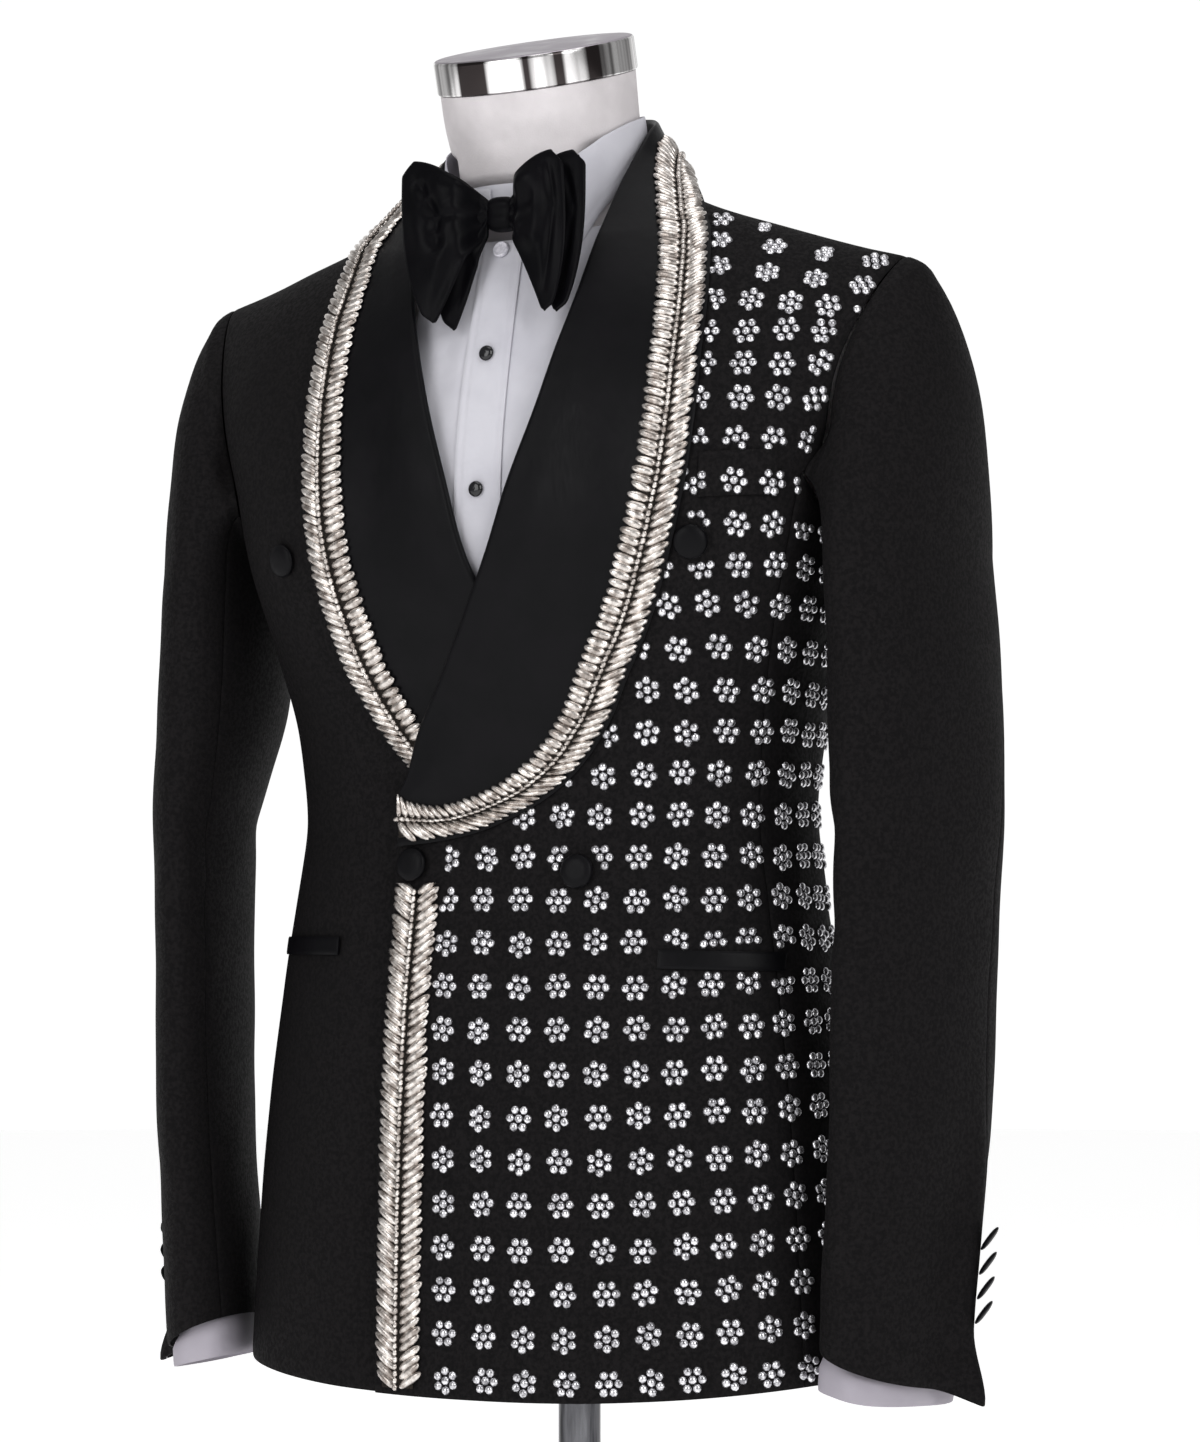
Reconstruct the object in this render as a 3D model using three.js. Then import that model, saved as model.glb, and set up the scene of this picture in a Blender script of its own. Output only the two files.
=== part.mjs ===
import * as THREE from 'three';
import { mergeVertices } from 'three/addons/utils/BufferGeometryUtils.js';

// A double-breasted dinner jacket with a shawl collar, worn with a shirt and a bow tie by a dress form.
// Millimetres, +Z up. The wearer faces -Y, so the wearer's left is +X.
// The origin is the middle of the base's underside, and `up` is always a height above the jacket's hem.

const hemHeight = 302;
const clothWall = 1.6;
const seamGap = 0.45;
const layerGap = 0.5;
const collarGap = 1.4;
const bodyMiddle = -28;
const shoulderStart = 478;
const frontRound = 1.8;
const backRound = 2.2;
const frontSeamAngle = 66;
const backSeamAngle = 118;
const panelTop = 518;
const lapSink = 2.8;
const lapRise = 3.2;
const underarmDrop = 25;
const trimWidth = 30;
const trimThick = 2.4;
const trimGap = 0.8;
const collarWall = 1.5;
const foldWall = 1.2;
const napeUp = 713;
const napeDip = 7;
const neckSide = 64;
const formInset = 15;
const formBottomUp = 78;
const poleRadius = 12.5;
const baseRadius = 172;
const capRadius = 59.5;
const capHeight = 20;
const neckLean = THREE.MathUtils.degToRad(18);

// Plan sections of the buttoned jacket: half width, front and back depth, and how square each is.
const bodySections = [
  { up: 0, half: 193.5, front: -135.5, back: 79, square: 2.3 },
  { up: 38, half: 192, front: -134, back: 78, square: 2.3 },
  { up: 108, half: 187, front: -130, back: 73, square: 2.35 },
  { up: 168, half: 181.5, front: -125, back: 67, square: 2.4 },
  { up: 228, half: 173.5, front: -119, back: 61, square: 2.45 },
  { up: 278, half: 165.5, front: -113, back: 57, square: 2.5 },
  { up: 328, half: 159, front: -109, back: 57, square: 2.5 },
  { up: 378, half: 162.5, front: -114, back: 62, square: 2.6 },
  { up: 428, half: 172, front: -126, back: 68, square: 2.9 },
  { up: 478, half: 185, front: -136, back: 73, square: 3.2 },
  { up: 518, half: 194, front: -138, back: 75, square: 3.3 },
  { up: 598, half: 220, front: -138, back: 76, square: 3.3 },
  { up: 698, half: 236, front: -138, back: 78, square: 3.3 },
  { up: 778, half: 240, front: -138, back: 78, square: 3.3 },
];

// The shoulder ridge, from the neck's middle out to the sleeve.
const shoulderRidge = [
  { x: -30, up: 736, y: -40 },
  { x: 0, up: 753, y: -40 },
  { x: 30, up: 736, y: -40 },
  { x: 62, up: 707, y: -38 },
  { x: 104, up: 684, y: -34 },
  { x: 150, up: 668, y: -30 },
  { x: 200, up: 652, y: -28 },
  { x: 222, up: 646, y: -28 },
  { x: 240, up: 640, y: -28 },
];

// The armhole seam in front and behind.
const armhole = [
  { up: 518, front: 183.7, back: 180 },
  { up: 543, front: 191, back: 186 },
  { up: 573, front: 197, back: 193 },
  { up: 600, front: 205, back: 201 },
  { up: 623, front: 214, back: 211 },
  { up: 640, front: 220, back: 219 },
  { up: 646, front: 222, back: 222 },
];

// Roll line of each front down to its front edge. The fronts lap, so low down the right one is hidden.
const rollLines = [
  { up: 0, left: -62, right: -56 },
  { up: 60, left: -63, right: -57 },
  { up: 200, left: -65, right: -58 },
  { up: 290, left: -63, right: -58 },
  { up: 336, left: -60, right: -57 },
  { up: 354, left: -52, right: -52 },
  { up: 378, left: -43, right: -44 },
  { up: 409, left: -25, right: -27 },
  { up: 444, left: -6, right: -9 },
  { up: 478, left: 11, right: 6 },
  { up: 518, left: 26, right: 17 },
  { up: 558, left: 40, right: 29 },
  { up: 590, left: 48, right: 38 },
  { up: 625, left: 56, right: 48 },
  { up: 658, left: 60, right: 58 },
  { up: 706, left: 66, right: 66 },
];

// Middle of the beaded trim on the left and the right half of the collar, from its low end to the shoulder.
const trimLeft = [
  { at: 0, x: -62, up: 326 },
  { at: 1, x: -39, up: 328 },
  { at: 2, x: -12, up: 333 },
  { at: 3, x: 9, up: 341 },
  { at: 4, x: 28, up: 351 },
  { at: 5, x: 46, up: 366 },
  { at: 6, x: 61, up: 386 },
  { at: 7, x: 75, up: 413 },
  { at: 8, x: 89, up: 438 },
  { at: 9, x: 101, up: 466 },
  { at: 10, x: 110, up: 495 },
  { at: 11, x: 116, up: 528 },
  { at: 12, x: 118, up: 562 },
  { at: 13, x: 117, up: 597 },
  { at: 14, x: 113, up: 630 },
  { at: 15, x: 105, up: 660 },
];
const trimRight = [
  { at: 0, x: 26, up: 345 },
  { at: 1, x: 45, up: 367 },
  { at: 2, x: 57, up: 380 },
  { at: 3, x: 69, up: 399 },
  { at: 4, x: 78, up: 418 },
  { at: 5, x: 85, up: 440 },
  { at: 6, x: 91, up: 465 },
  { at: 7, x: 96, up: 492 },
  { at: 8, x: 99, up: 520 },
  { at: 9, x: 101, up: 550 },
  { at: 10, x: 102, up: 580 },
  { at: 11, x: 102, up: 607 },
  { at: 12, x: 100, up: 634 },
  { at: 13, x: 97, up: 660 },
];

// Where each station of the trim meets the roll line, as a height on it.
const rollOfTrim = {
  left: [
    { at: 0, up: 341 },
    { at: 2, up: 350 },
    { at: 4, up: 366 },
    { at: 6, up: 394 },
    { at: 8, up: 440 },
    { at: 10, up: 497 },
    { at: 12, up: 560 },
    { at: 14, up: 628 },
    { at: 15, up: 660 },
  ],
  right: [
    { at: 0, up: 352 },
    { at: 2, up: 386 },
    { at: 4, up: 424 },
    { at: 6, up: 470 },
    { at: 8, up: 522 },
    { at: 10, up: 580 },
    { at: 12, up: 634 },
    { at: 13, up: 660 },
  ],
};

// The collar from the shoulder to the centre back: its fold round the neck and its edge on the back.
const neckCollar = [
  { at: 0, foldX: 60, foldY: -96, foldUp: 660, edgeX: 118, edgeY: -70, edgeUp: 664, stand: 4 },
  { at: 1, foldX: 62, foldY: -74, foldUp: 690, edgeX: 109, edgeY: -55, edgeUp: 679, stand: 9 },
  { at: 2, foldX: 64, foldY: -53, foldUp: 715, edgeX: 98, edgeY: -36, edgeUp: 691.5, stand: 12 },
  { at: 3, foldX: 62.5, foldY: -32, foldUp: 732, edgeX: 87, edgeY: -14, edgeUp: 696, stand: 19 },
  { at: 4, foldX: 51, foldY: -6, foldUp: 742, edgeX: 73, edgeY: 5, edgeUp: 694, stand: 25 },
  { at: 5, foldX: 30, foldY: 12, foldUp: 747, edgeX: 42, edgeY: 26, edgeUp: 693, stand: 30 },
  { at: 6, foldX: 0, foldY: 20, foldUp: 749, edgeX: 0, edgeY: 37, edgeUp: 697, stand: 32 },
];

// The sleeve below its head: middle, long and short half axis, and how far its front edge turns in.
const sleeveSections = [
  { up: 478, x: 223, y: -23, long: 80, short: 32, turn: 5 },
  { up: 408, x: 228, y: -30.5, long: 77, short: 32, turn: 10 },
  { up: 320, x: 234, y: -42, long: 71, short: 26, turn: 16 },
  { up: 240, x: 233, y: -45, long: 69, short: 24, turn: 16 },
  { up: 150, x: 230, y: -47, long: 66, short: 24.5, turn: 16 },
  { up: 60, x: 222, y: -51, long: 58, short: 26, turn: 15 },
  { up: 0, x: 218, y: -52, long: 54, short: 26.5, turn: 15 },
];
const sleeveHemUp = 22;
const sleeveHemSlope = -0.43;
const sleeveFrontSeam = 130;
const ventAngle = -32;
const ventReach = 11;
const ventFlare = 12;

const { degToRad, lerp, clamp, smoothstep } = THREE.MathUtils;
const point = (x, y, z) => new THREE.Vector3(x, y, z);

// A smooth curve through one column of a table that never swings past its rows.
function column(table, key, name) {
  const xs = table.map((row) => row[key]);
  const ys = table.map((row) => row[name]);
  const slopes = xs.slice(1).map((x, i) => (ys[i + 1] - ys[i]) / (x - xs[i]));
  const tangents = xs.map((_, i) => {
    if (i === 0) return slopes[0];
    if (i === slopes.length) return slopes[i - 1];
    const product = slopes[i - 1] * slopes[i];
    return product <= 0 ? 0 : (2 * product) / (slopes[i - 1] + slopes[i]);
  });
  const rising = xs[1] > xs[0];
  const lowest = Math.min(...xs);
  const highest = Math.max(...xs);
  return (at) => {
    const x = clamp(at, lowest, highest);
    let i = 0;
    while (i < slopes.length - 1 && (rising ? x > xs[i + 1] : x < xs[i + 1])) i += 1;
    const width = xs[i + 1] - xs[i];
    const t = (x - xs[i]) / width;
    const rise = t * t * (3 - 2 * t);
    const lead = t * (1 - t) * (1 - t) * width * tangents[i];
    const tail = t * t * (t - 1) * width * tangents[i + 1];
    return ys[i] * (1 - rise) + ys[i + 1] * rise + lead + tail;
  };
}

const bodyHalf = column(bodySections, 'up', 'half');
const bodyFront = column(bodySections, 'up', 'front');
const bodyBack = column(bodySections, 'up', 'back');
const bodySquare = column(bodySections, 'up', 'square');
const ridgeUp = column(shoulderRidge, 'x', 'up');
const ridgeY = column(shoulderRidge, 'x', 'y');
const armholeFront = column(armhole, 'up', 'front');
const armholeBack = column(armhole, 'up', 'back');
const rollLeft = column(rollLines, 'up', 'left');
const rollRight = column(rollLines, 'up', 'right');

// The jacket's outside. angle is 0 at the centre front, 90 at the left side and 180 at the centre back.
// Above the chest the section closes on the shoulder ridge.
function bodyAt(angle, up, inset = 0) {
  const turn = degToRad(angle);
  const power = 2 / bodySquare(up);
  const x = Math.sign(angle) * (bodyHalf(up) - inset) * Math.abs(Math.sin(turn)) ** power;
  const inFront = Math.abs(angle) < 90;
  const top = ridgeUp(Math.abs(x)) - inset;
  const past = clamp((up - shoulderStart) / (top - shoulderStart), 0, 1);
  const round = inFront ? frontRound : backRound;
  const closing = (1 - past ** round) ** (1 / round);
  const middle = lerp(bodyMiddle, ridgeY(Math.abs(x)), past);
  const depth = inFront ? bodyFront(up) + inset - bodyMiddle : bodyBack(up) - inset - bodyMiddle;
  const y = middle + depth * Math.abs(Math.cos(turn)) ** power * closing;
  return point(x, y, hemHeight + up);
}

function angleOf(x, up, behind = false) {
  const share = clamp(Math.abs(x) / bodyHalf(up), 0, 1);
  const angle = THREE.MathUtils.radToDeg(Math.asin(share ** (bodySquare(up) / 2)));
  return Math.sign(x || 1) * (behind ? 180 - angle : angle);
}

// A spot on the front at x and up, moved out along the cloth's own normal.
function frontSpot(x, up, proud = 0) {
  const step = 0.5;
  const at = (px, pup) => bodyAt(angleOf(px, pup), pup);
  const across = at(x + step, up).sub(at(x - step, up));
  const along = at(x, up + step).sub(at(x, up - step));
  return at(x, up).addScaledVector(across.cross(along).normalize(), proud);
}

// A closed wall between two grids of points, with its rims.
// turn is 1 where u x v points out and -1 where it points in.
function closedWall(outerAt, innerAt, across, along, turn) {
  const positions = [];
  const index = [];
  const rows = along + 1;
  const layer = (across + 1) * rows;
  [outerAt, innerAt].forEach((at) => {
    for (let i = 0; i <= across; i += 1) {
      for (let j = 0; j <= along; j += 1) {
        const p = at(i / across, j / along);
        positions.push(p.x, p.y, p.z);
      }
    }
  });
  const quad = (a, b, c, d) => index.push(...(turn > 0 ? [a, b, c, a, c, d] : [a, c, b, a, d, c]));
  for (let i = 0; i < across; i += 1) {
    for (let j = 0; j < along; j += 1) {
      const a = i * rows + j;
      quad(a, a + rows, a + rows + 1, a + 1);
      quad(layer + a, layer + a + 1, layer + a + rows + 1, layer + a + rows);
    }
  }
  for (let i = 0; i < across; i += 1) {
    const low = i * rows;
    const high = low + along;
    quad(low, layer + low, layer + low + rows, low + rows);
    quad(high, high + rows, layer + high + rows, layer + high);
  }
  for (let j = 0; j < along; j += 1) {
    const far = across * rows + j;
    quad(j, j + 1, layer + j + 1, layer + j);
    quad(far, layer + far, layer + far + 1, far + 1);
  }
  const geometry = new THREE.BufferGeometry();
  geometry.setAttribute('position', new THREE.Float32BufferAttribute(positions, 3));
  geometry.setIndex(index);
  return geometry;
}

// Cloth: the outer face is pointAt, and the inner one lies a wall's thickness behind it.
function shell(pointAt, across, along, turn, wallAt = () => clothWall) {
  const step = 0.002;
  const innerAt = (u, v) => {
    const du = pointAt(Math.min(1, u + step), v).sub(pointAt(Math.max(0, u - step), v));
    const dv = pointAt(u, Math.min(1, v + step)).sub(pointAt(u, Math.max(0, v - step)));
    return pointAt(u, v).addScaledVector(du.cross(dv).normalize(), -turn * wallAt(u, v));
  };
  return closedWall(pointAt, innerAt, across, along, turn);
}

// A closed tube wall round a ring of points, where turn goes from 0 to 1 right round.
function ringWall(outerAt, innerAt, around, along) {
  const positions = [];
  const index = [];
  const rows = along + 1;
  [outerAt, innerAt].forEach((at) => {
    for (let i = 0; i < around; i += 1) {
      for (let j = 0; j <= along; j += 1) {
        const p = at(i / around, j / along);
        positions.push(p.x, p.y, p.z);
      }
    }
  });
  const layer = around * rows;
  const quad = (a, b, c, d) => index.push(a, b, c, a, c, d);
  for (let i = 0; i < around; i += 1) {
    const here = i * rows;
    const next = ((i + 1) % around) * rows;
    for (let j = 0; j < along; j += 1) {
      quad(here + j, next + j, next + j + 1, here + j + 1);
      quad(layer + here + j, layer + here + j + 1, layer + next + j + 1, layer + next + j);
    }
    quad(here, layer + here, layer + next, next);
    quad(here + along, next + along, layer + next + along, layer + here + along);
  }
  const geometry = new THREE.BufferGeometry();
  geometry.setAttribute('position', new THREE.Float32BufferAttribute(positions, 3));
  geometry.setIndex(index);
  return geometry;
}

// A solid stack of closed rings with a flat top and bottom.
function stack(rings) {
  const around = rings[0].length;
  const positions = [];
  const index = [];
  rings.flat().forEach((p) => positions.push(p.x, p.y, p.z));
  for (let k = 0; k < rings.length - 1; k += 1) {
    for (let i = 0; i < around; i += 1) {
      const a = k * around + i;
      const b = k * around + ((i + 1) % around);
      index.push(a, b, b + around, a, b + around, a + around);
    }
  }
  [0, rings.length - 1].forEach((k) => {
    const middle = positions.length / 3;
    const centre = rings[k].reduce((sum, p) => sum.add(p), point(0, 0, 0)).divideScalar(around);
    positions.push(centre.x, centre.y, centre.z);
    for (let i = 0; i < around; i += 1) {
      const a = k * around + i;
      const b = k * around + ((i + 1) % around);
      index.push(...(k === 0 ? [middle, b, a] : [middle, a, b]));
    }
  });
  const geometry = new THREE.BufferGeometry();
  geometry.setAttribute('position', new THREE.Float32BufferAttribute(positions, 3));
  geometry.setIndex(index);
  return geometry;
}

const paint = (colour, roughness, metalness = 0) =>
  new THREE.MeshStandardMaterial({ color: colour, roughness, metalness, flatShading: true });
const cloth = () => paint(0x0c0c0e, 0.8);
const satin = () => paint(0x0a0b12, 0.35);
const beads = () => paint(0xb8ab98, 0.3, 0.8);
const shirting = () => paint(0xe9e9ef, 0.75);

const tuxedo = new THREE.Group();

function add(name, geometry, material) {
  geometry.deleteAttribute('normal');
  geometry.deleteAttribute('uv');
  const mesh = new THREE.Mesh(mergeVertices(geometry, 1e-4), material);
  mesh.name = name;
  tuxedo.add(mesh);
  return mesh;
}

const sides = [
  { name: 'left', sign: 1 },
  { name: 'right', sign: -1 },
];
const mirrored = (p, sign) => point(p.x * sign, p.y, p.z);

// The fronts lap: the left one stands out over the right one and its trim, and the right one sinks.
const lapShare = (x, up) => (1 - smoothstep(x, 62, 100)) * (1 - smoothstep(up, 500, 620));
function leftProud(x, up) {
  const near = 1 - smoothstep(x - rollLeft(up), 50, 95);
  const overTrim = smoothstep(up, 300, 350) * (1 - smoothstep(up, 392, 448));
  return lapRise * lapShare(x, up) + trimThick * near * overTrim;
}
const rightProud = (x, up) => -lapSink * lapShare(x, up);

// Fronts, from the front edge to the side seam and from the hem to the shoulder seam.
const hemRise = (angle) => 6 * (1 - Math.cos(degToRad(Math.min(Math.abs(angle), 90) * 2)));
const rowsBelow = 16;
const rowsAbove = 8;

function panelUp(v, hem, top) {
  const share = v * (rowsBelow + rowsAbove);
  if (share <= rowsBelow) return lerp(hem, panelTop, share / rowsBelow);
  const left = 1 - (share - rowsBelow) / rowsAbove;
  return top - (top - panelTop) * left * left;
}

function frontAt(u, v, roll, proudAt) {
  let up = panelUp(v, 0, 690);
  let angle = 0;
  for (let pass = 0; pass < 6; pass += 1) {
    const foldClear = 4.4 * smoothstep(up, 336, 380);
    const inner = angleOf(roll(up) + foldClear, up);
    const seam = up > panelTop ? angleOf(armholeFront(up), up) : frontSeamAngle;
    angle = lerp(inner, seam - 0.12, u);
    const x = Math.abs(bodyAt(angle, up).x);
    up = panelUp(v, hemRise(angle), ridgeUp(Math.max(x, neckSide)));
  }
  const spot = bodyAt(angle, up);
  const proud = proudAt(spot.x, up);
  const ridge = 0.25 * smoothstep(v, 0.9, 1);
  const placed = Math.abs(proud) > 0.01 ? frontSpot(spot.x, up, proud) : spot;
  return placed.add(point(0, -ridge, 0));
}

const leftFrontAt = (u, v) => frontAt(u, v, rollLeft, leftProud);
const rightFrontAt = (u, v) => mirrored(frontAt(u, v, rollRight, rightProud), -1);
add('front_left', shell(leftFrontAt, 12, rowsBelow + rowsAbove, 1), cloth());
add('front_right', shell(rightFrontAt, 12, rowsBelow + rowsAbove, -1), cloth());

// Side bodies, between the front and back seams and up to the underarm.
function sideAt(u, v) {
  const angle = lerp(frontSeamAngle + 0.12, backSeamAngle - 0.12, u);
  const top = panelTop - underarmDrop * Math.sin(Math.PI * u);
  return bodyAt(angle, lerp(hemRise(angle), top, v));
}

// Backs, from the centre seam to the side seam and up to the neck and the shoulder.
function backTop(x) {
  return x < neckSide ? napeUp - napeDip * (x / neckSide) ** 2 : ridgeUp(x);
}

function backAt(u, v) {
  let up = panelUp(v, 0, 700);
  let angle = 180;
  for (let pass = 0; pass < 6; pass += 1) {
    const seam = up > panelTop ? angleOf(armholeBack(up), up, true) : backSeamAngle;
    angle = lerp(angleOf(seamGap / 2, up, true), seam + 0.12, u);
    const x = Math.abs(bodyAt(angle, up).x);
    up = panelUp(v, hemRise(angle), backTop(x));
  }
  return bodyAt(angle, up).add(point(0, 0.25 * smoothstep(v, 0.9, 1), 0));
}

sides.forEach(({ name, sign }) => {
  add(`side_${name}`, shell((u, v) => mirrored(sideAt(u, v), sign), 4, rowsBelow, sign), cloth());
  add(`back_${name}`, shell((u, v) => mirrored(backAt(u, v), sign), 8, rowsBelow + rowsAbove, -sign), cloth());
});

// The armhole as one loop, from the shoulder down the front, under the arm and up the back.
function armholeLoop() {
  const steps = 12;
  const shares = Array.from({ length: steps + 1 }, (_, k) => k / steps);
  const openShare = rowsAbove / (rowsBelow + rowsAbove);
  const down = shares.map((share) => frontAt(1, 1 - share * openShare, rollLeft, () => 0));
  const across = shares.slice(1, -1).map((share) => sideAt(share, 1));
  const rise = shares.map((share) => backAt(1, 1 - (1 - share) * openShare));
  return new THREE.CatmullRomCurve3([...down, ...across, ...rise], true, 'centripetal');
}
const armholeCurve = armholeLoop();
armholeCurve.arcLengthDivisions = 400;

const sleeveX = column(sleeveSections, 'up', 'x');
const sleeveY = column(sleeveSections, 'up', 'y');
const sleeveLong = column(sleeveSections, 'up', 'long');
const sleeveShort = column(sleeveSections, 'up', 'short');
const sleeveTurn = column(sleeveSections, 'up', 'turn');
const sleeveTop = sleeveSections[0].up;

// The left sleeve's section at a height. angle is 0 outside, 90 in front, 180 inside and 270 behind.
function sleeveSection(angle, up, inset = 0) {
  const turn = degToRad(sleeveTurn(up));
  const a = degToRad(angle);
  const off = ((angle - ventAngle + 540) % 360) - 180;
  const reach = ventReach * (1 - smoothstep(up, 60, 210)) + ventFlare * (1 - smoothstep(up, 0, 42));
  const vent = reach * Math.exp(-((off / 15) ** 2));
  const out = Math.cos(a) * (sleeveShort(up) - inset) + vent;
  const ahead = Math.sin(a) * (sleeveLong(up) - inset);
  const x = sleeveX(up) + out * Math.cos(turn) - ahead * Math.sin(turn);
  const y = sleeveY(up) - out * Math.sin(turn) - ahead * Math.cos(turn);
  return point(x, y, hemHeight + up);
}

const headShare = 0.3;

function sleeveAt(angle, v, inset = 0) {
  if (v <= headShare) {
    const t = v / headShare;
    const start = armholeCurve.getPointAt((((angle % 360) + 360) % 360) / 360);
    const under = Math.max(0, -Math.cos(degToRad(angle)));
    start.x += 0.9 + 2.2 * under ** 2;
    const end = sleeveSection(angle, sleeveTop, inset);
    const outside = Math.max(0, Math.cos(degToRad(angle)));
    const bendX = lerp(start.x, end.x, lerp(0.85, 1.25, outside));
    const bend = point(bendX, lerp(start.y, end.y, 0.6), lerp(start.z, end.z, 0.1));
    const first = start.clone().lerp(bend, t);
    return first.lerp(bend.clone().lerp(end, t), t);
  }
  const t = (v - headShare) / (1 - headShare);
  const flat = sleeveSection(angle, 0);
  const hem = sleeveHemUp + sleeveHemSlope * (flat.x - sleeveX(0));
  return sleeveSection(angle, lerp(sleeveTop, hem, t), inset);
}

// Two cuts to a sleeve: the hind seam runs from behind the armhole down into the vent.
const hindSeam = (v) => lerp(-72, ventAngle - 4, smoothstep(v, 0, 0.85));
const seamTurn = 0.25;
const topSleeveAt = (u, v) => sleeveAt(lerp(hindSeam(v) + seamTurn, sleeveFrontSeam - seamTurn, u), v);
const underSleeveAt = (u, v) => sleeveAt(lerp(sleeveFrontSeam + seamTurn, hindSeam(v) + 360 - seamTurn, u), v);

sides.forEach(({ name, sign }) => {
  const top = (u, v) => mirrored(topSleeveAt(u, v), sign);
  const under = (u, v) => mirrored(underSleeveAt(u, v), sign);
  add(`sleeve_top_${name}`, shell(top, 9, 18, sign), cloth());
  add(`sleeve_under_${name}`, shell(under, 7, 18, sign), cloth());
});

// The collar: a strip from the fold to the edge, with a stand turned down inside the fold.
// s runs up the front, over the shoulder and round to the centre back. t is 0 at the fold, 1 at the edge.
const neck = Object.fromEntries(
  ['foldX', 'foldY', 'foldUp', 'edgeX', 'edgeY', 'edgeUp', 'stand'].map((name) => [name, column(neckCollar, 'at', name)]),
);
const neckStations = neckCollar.length - 1;
const neckLift = 1;

function collarMaker(trim, rollTable, roll, proudAt) {
  const trimX = column(trim, 'at', 'x');
  const trimUp = column(trim, 'at', 'up');
  const rollUp = column(rollTable, 'at', 'up');
  const last = trim.length - 1;
  const total = last + neckStations;

  const edgeOf = (at) => {
    const step = 0.05;
    const dx = trimX(at + step) - trimX(at - step);
    const dup = trimUp(at + step) - trimUp(at - step);
    const length = Math.hypot(dx, dup) || 1;
    const half = trimWidth / 2;
    return { x: trimX(at) + (dup / length) * half, up: trimUp(at) - (dx / length) * half };
  };

  const frontPoint = (at, t, lift) => {
    const edge = edgeOf(at);
    const foldUp = rollUp(at);
    const x = lerp(roll(foldUp), edge.x, t);
    const up = lerp(foldUp, edge.up, t);
    return frontSpot(x, up, proudAt(x, up) + collarGap + collarWall + lift);
  };

  const neckPoint = (at, t, lift) => {
    const fold = point(neck.foldX(at), neck.foldY(at), hemHeight + neck.foldUp(at));
    const edge = point(neck.edgeX(at), neck.edgeY(at), hemHeight + neck.edgeUp(at));
    const out = edge.clone().sub(fold);
    const step = 0.05;
    const ahead = point(
      neck.foldX(at + step) + neck.edgeX(at + step) - neck.foldX(at - step) - neck.edgeX(at - step),
      neck.foldY(at + step) + neck.edgeY(at + step) - neck.foldY(at - step) - neck.edgeY(at - step),
      neck.foldUp(at + step) + neck.edgeUp(at + step) - neck.foldUp(at - step) - neck.edgeUp(at - step),
    );
    const normal = out.clone().cross(ahead).normalize();
    return fold.addScaledVector(out, t).addScaledVector(normal, lift + collarWall + neckLift);
  };

  const collar = (s, t, lift = 0) => {
    const at = s * total;
    const share = smoothstep(at, last - 1.6, last + 0.6);
    if (share <= 0) return frontPoint(at, t, lift);
    const onNeck = neckPoint(Math.max(0, at - last), t, lift);
    if (share >= 1) return onNeck;
    return frontPoint(Math.min(at, last), t, lift).lerp(onNeck, share);
  };
  collar.stationOf = (s) => s * total - last;
  return collar;
}

const collarLeft = collarMaker(trimLeft, rollOfTrim.left, rollLeft, leftProud);
const collarRight = collarMaker(trimRight, rollOfTrim.right, rollRight, rightProud);

// Across the collar: the turned stand, the fold, then the fall out to the edge.
const collarProfile = [
  { k: 0, t: 0.0, drop: 1, lift: -2.9 },
  { k: 1, t: 0.0, drop: 0.02, lift: -2.7 },
  { k: 2, t: 0.0, drop: -0.05, lift: -1.2 },
  { k: 3, t: 0.03, drop: 0, lift: 0.5 },
  { k: 4, t: 0.2, drop: 0, lift: 0.5 },
  { k: 5, t: 0.46, drop: 0, lift: 0.2 },
  { k: 6, t: 0.74, drop: 0, lift: 0 },
  { k: 7, t: 1.0, drop: 0, lift: 0 },
];
const profileT = column(collarProfile, 'k', 't');
const profileLift = column(collarProfile, 'k', 'lift');
const profileDrop = column(collarProfile, 'k', 'drop');
const profileSteps = collarProfile.length - 1;
const turnUnder = 1.6;

function collarWallAt(collar, s, v) {
  const k = v * profileSteps;
  const spot = collar(s, Math.max(profileT(k), 0), profileLift(k));
  const drop = profileDrop(k);
  if (drop === 0) return spot;
  const onNeck = Math.max(0, collar.stationOf(s));
  const down = point(0, 0, -neck.stand(onNeck) * drop);
  const under = collar(s, 0.06, profileLift(k)).sub(collar(s, 0, profileLift(k))).normalize();
  under.multiplyScalar(turnUnder * drop);
  return spot.add(under.lerp(down, smoothstep(onNeck, 0, 1.5)));
}

const backSeam = 0.9975;
const leftStations = 28;
const rightStations = 26;
const acrossCollar = (u, v) => lerp(foldWall, collarWall, smoothstep(v, 0.28, 0.45));
const leftCollarAt = (u, v) => collarWallAt(collarLeft, u * backSeam, v);
const rightCollarAt = (u, v) => mirrored(collarWallAt(collarRight, u * backSeam, v), -1);
add('collar_left', shell(leftCollarAt, leftStations, profileSteps, -1, acrossCollar), satin());
add('collar_right', shell(rightCollarAt, rightStations, profileSteps, 1, acrossCollar), satin());

// Beaded trim: a strip with a low ridge along its middle, laid on the collar's edge.
const trimProfile = (v) => trimThick * (0.75 + 0.25 * Math.cos(Math.PI * (2 * v - 1)) ** 2);

function trimAt(collar, s, v) {
  const here = collar(s, 0);
  const edge = collar(s, 1);
  const reach = trimWidth / here.distanceTo(edge);
  return collar(s, lerp(1 - reach, 1, v), trimGap + trimProfile(v));
}

const acrossTrim = (u, v) => trimProfile(v);
const leftTrimAt = (u, v) => trimAt(collarLeft, u * backSeam, v);
const rightTrimAt = (u, v) => mirrored(trimAt(collarRight, u * backSeam, v), -1);
add('trim_collar_left', shell(leftTrimAt, leftStations, 4, -1, acrossTrim), beads());
add('trim_collar_right', shell(rightTrimAt, rightStations, 4, 1, acrossTrim), beads());

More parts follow.
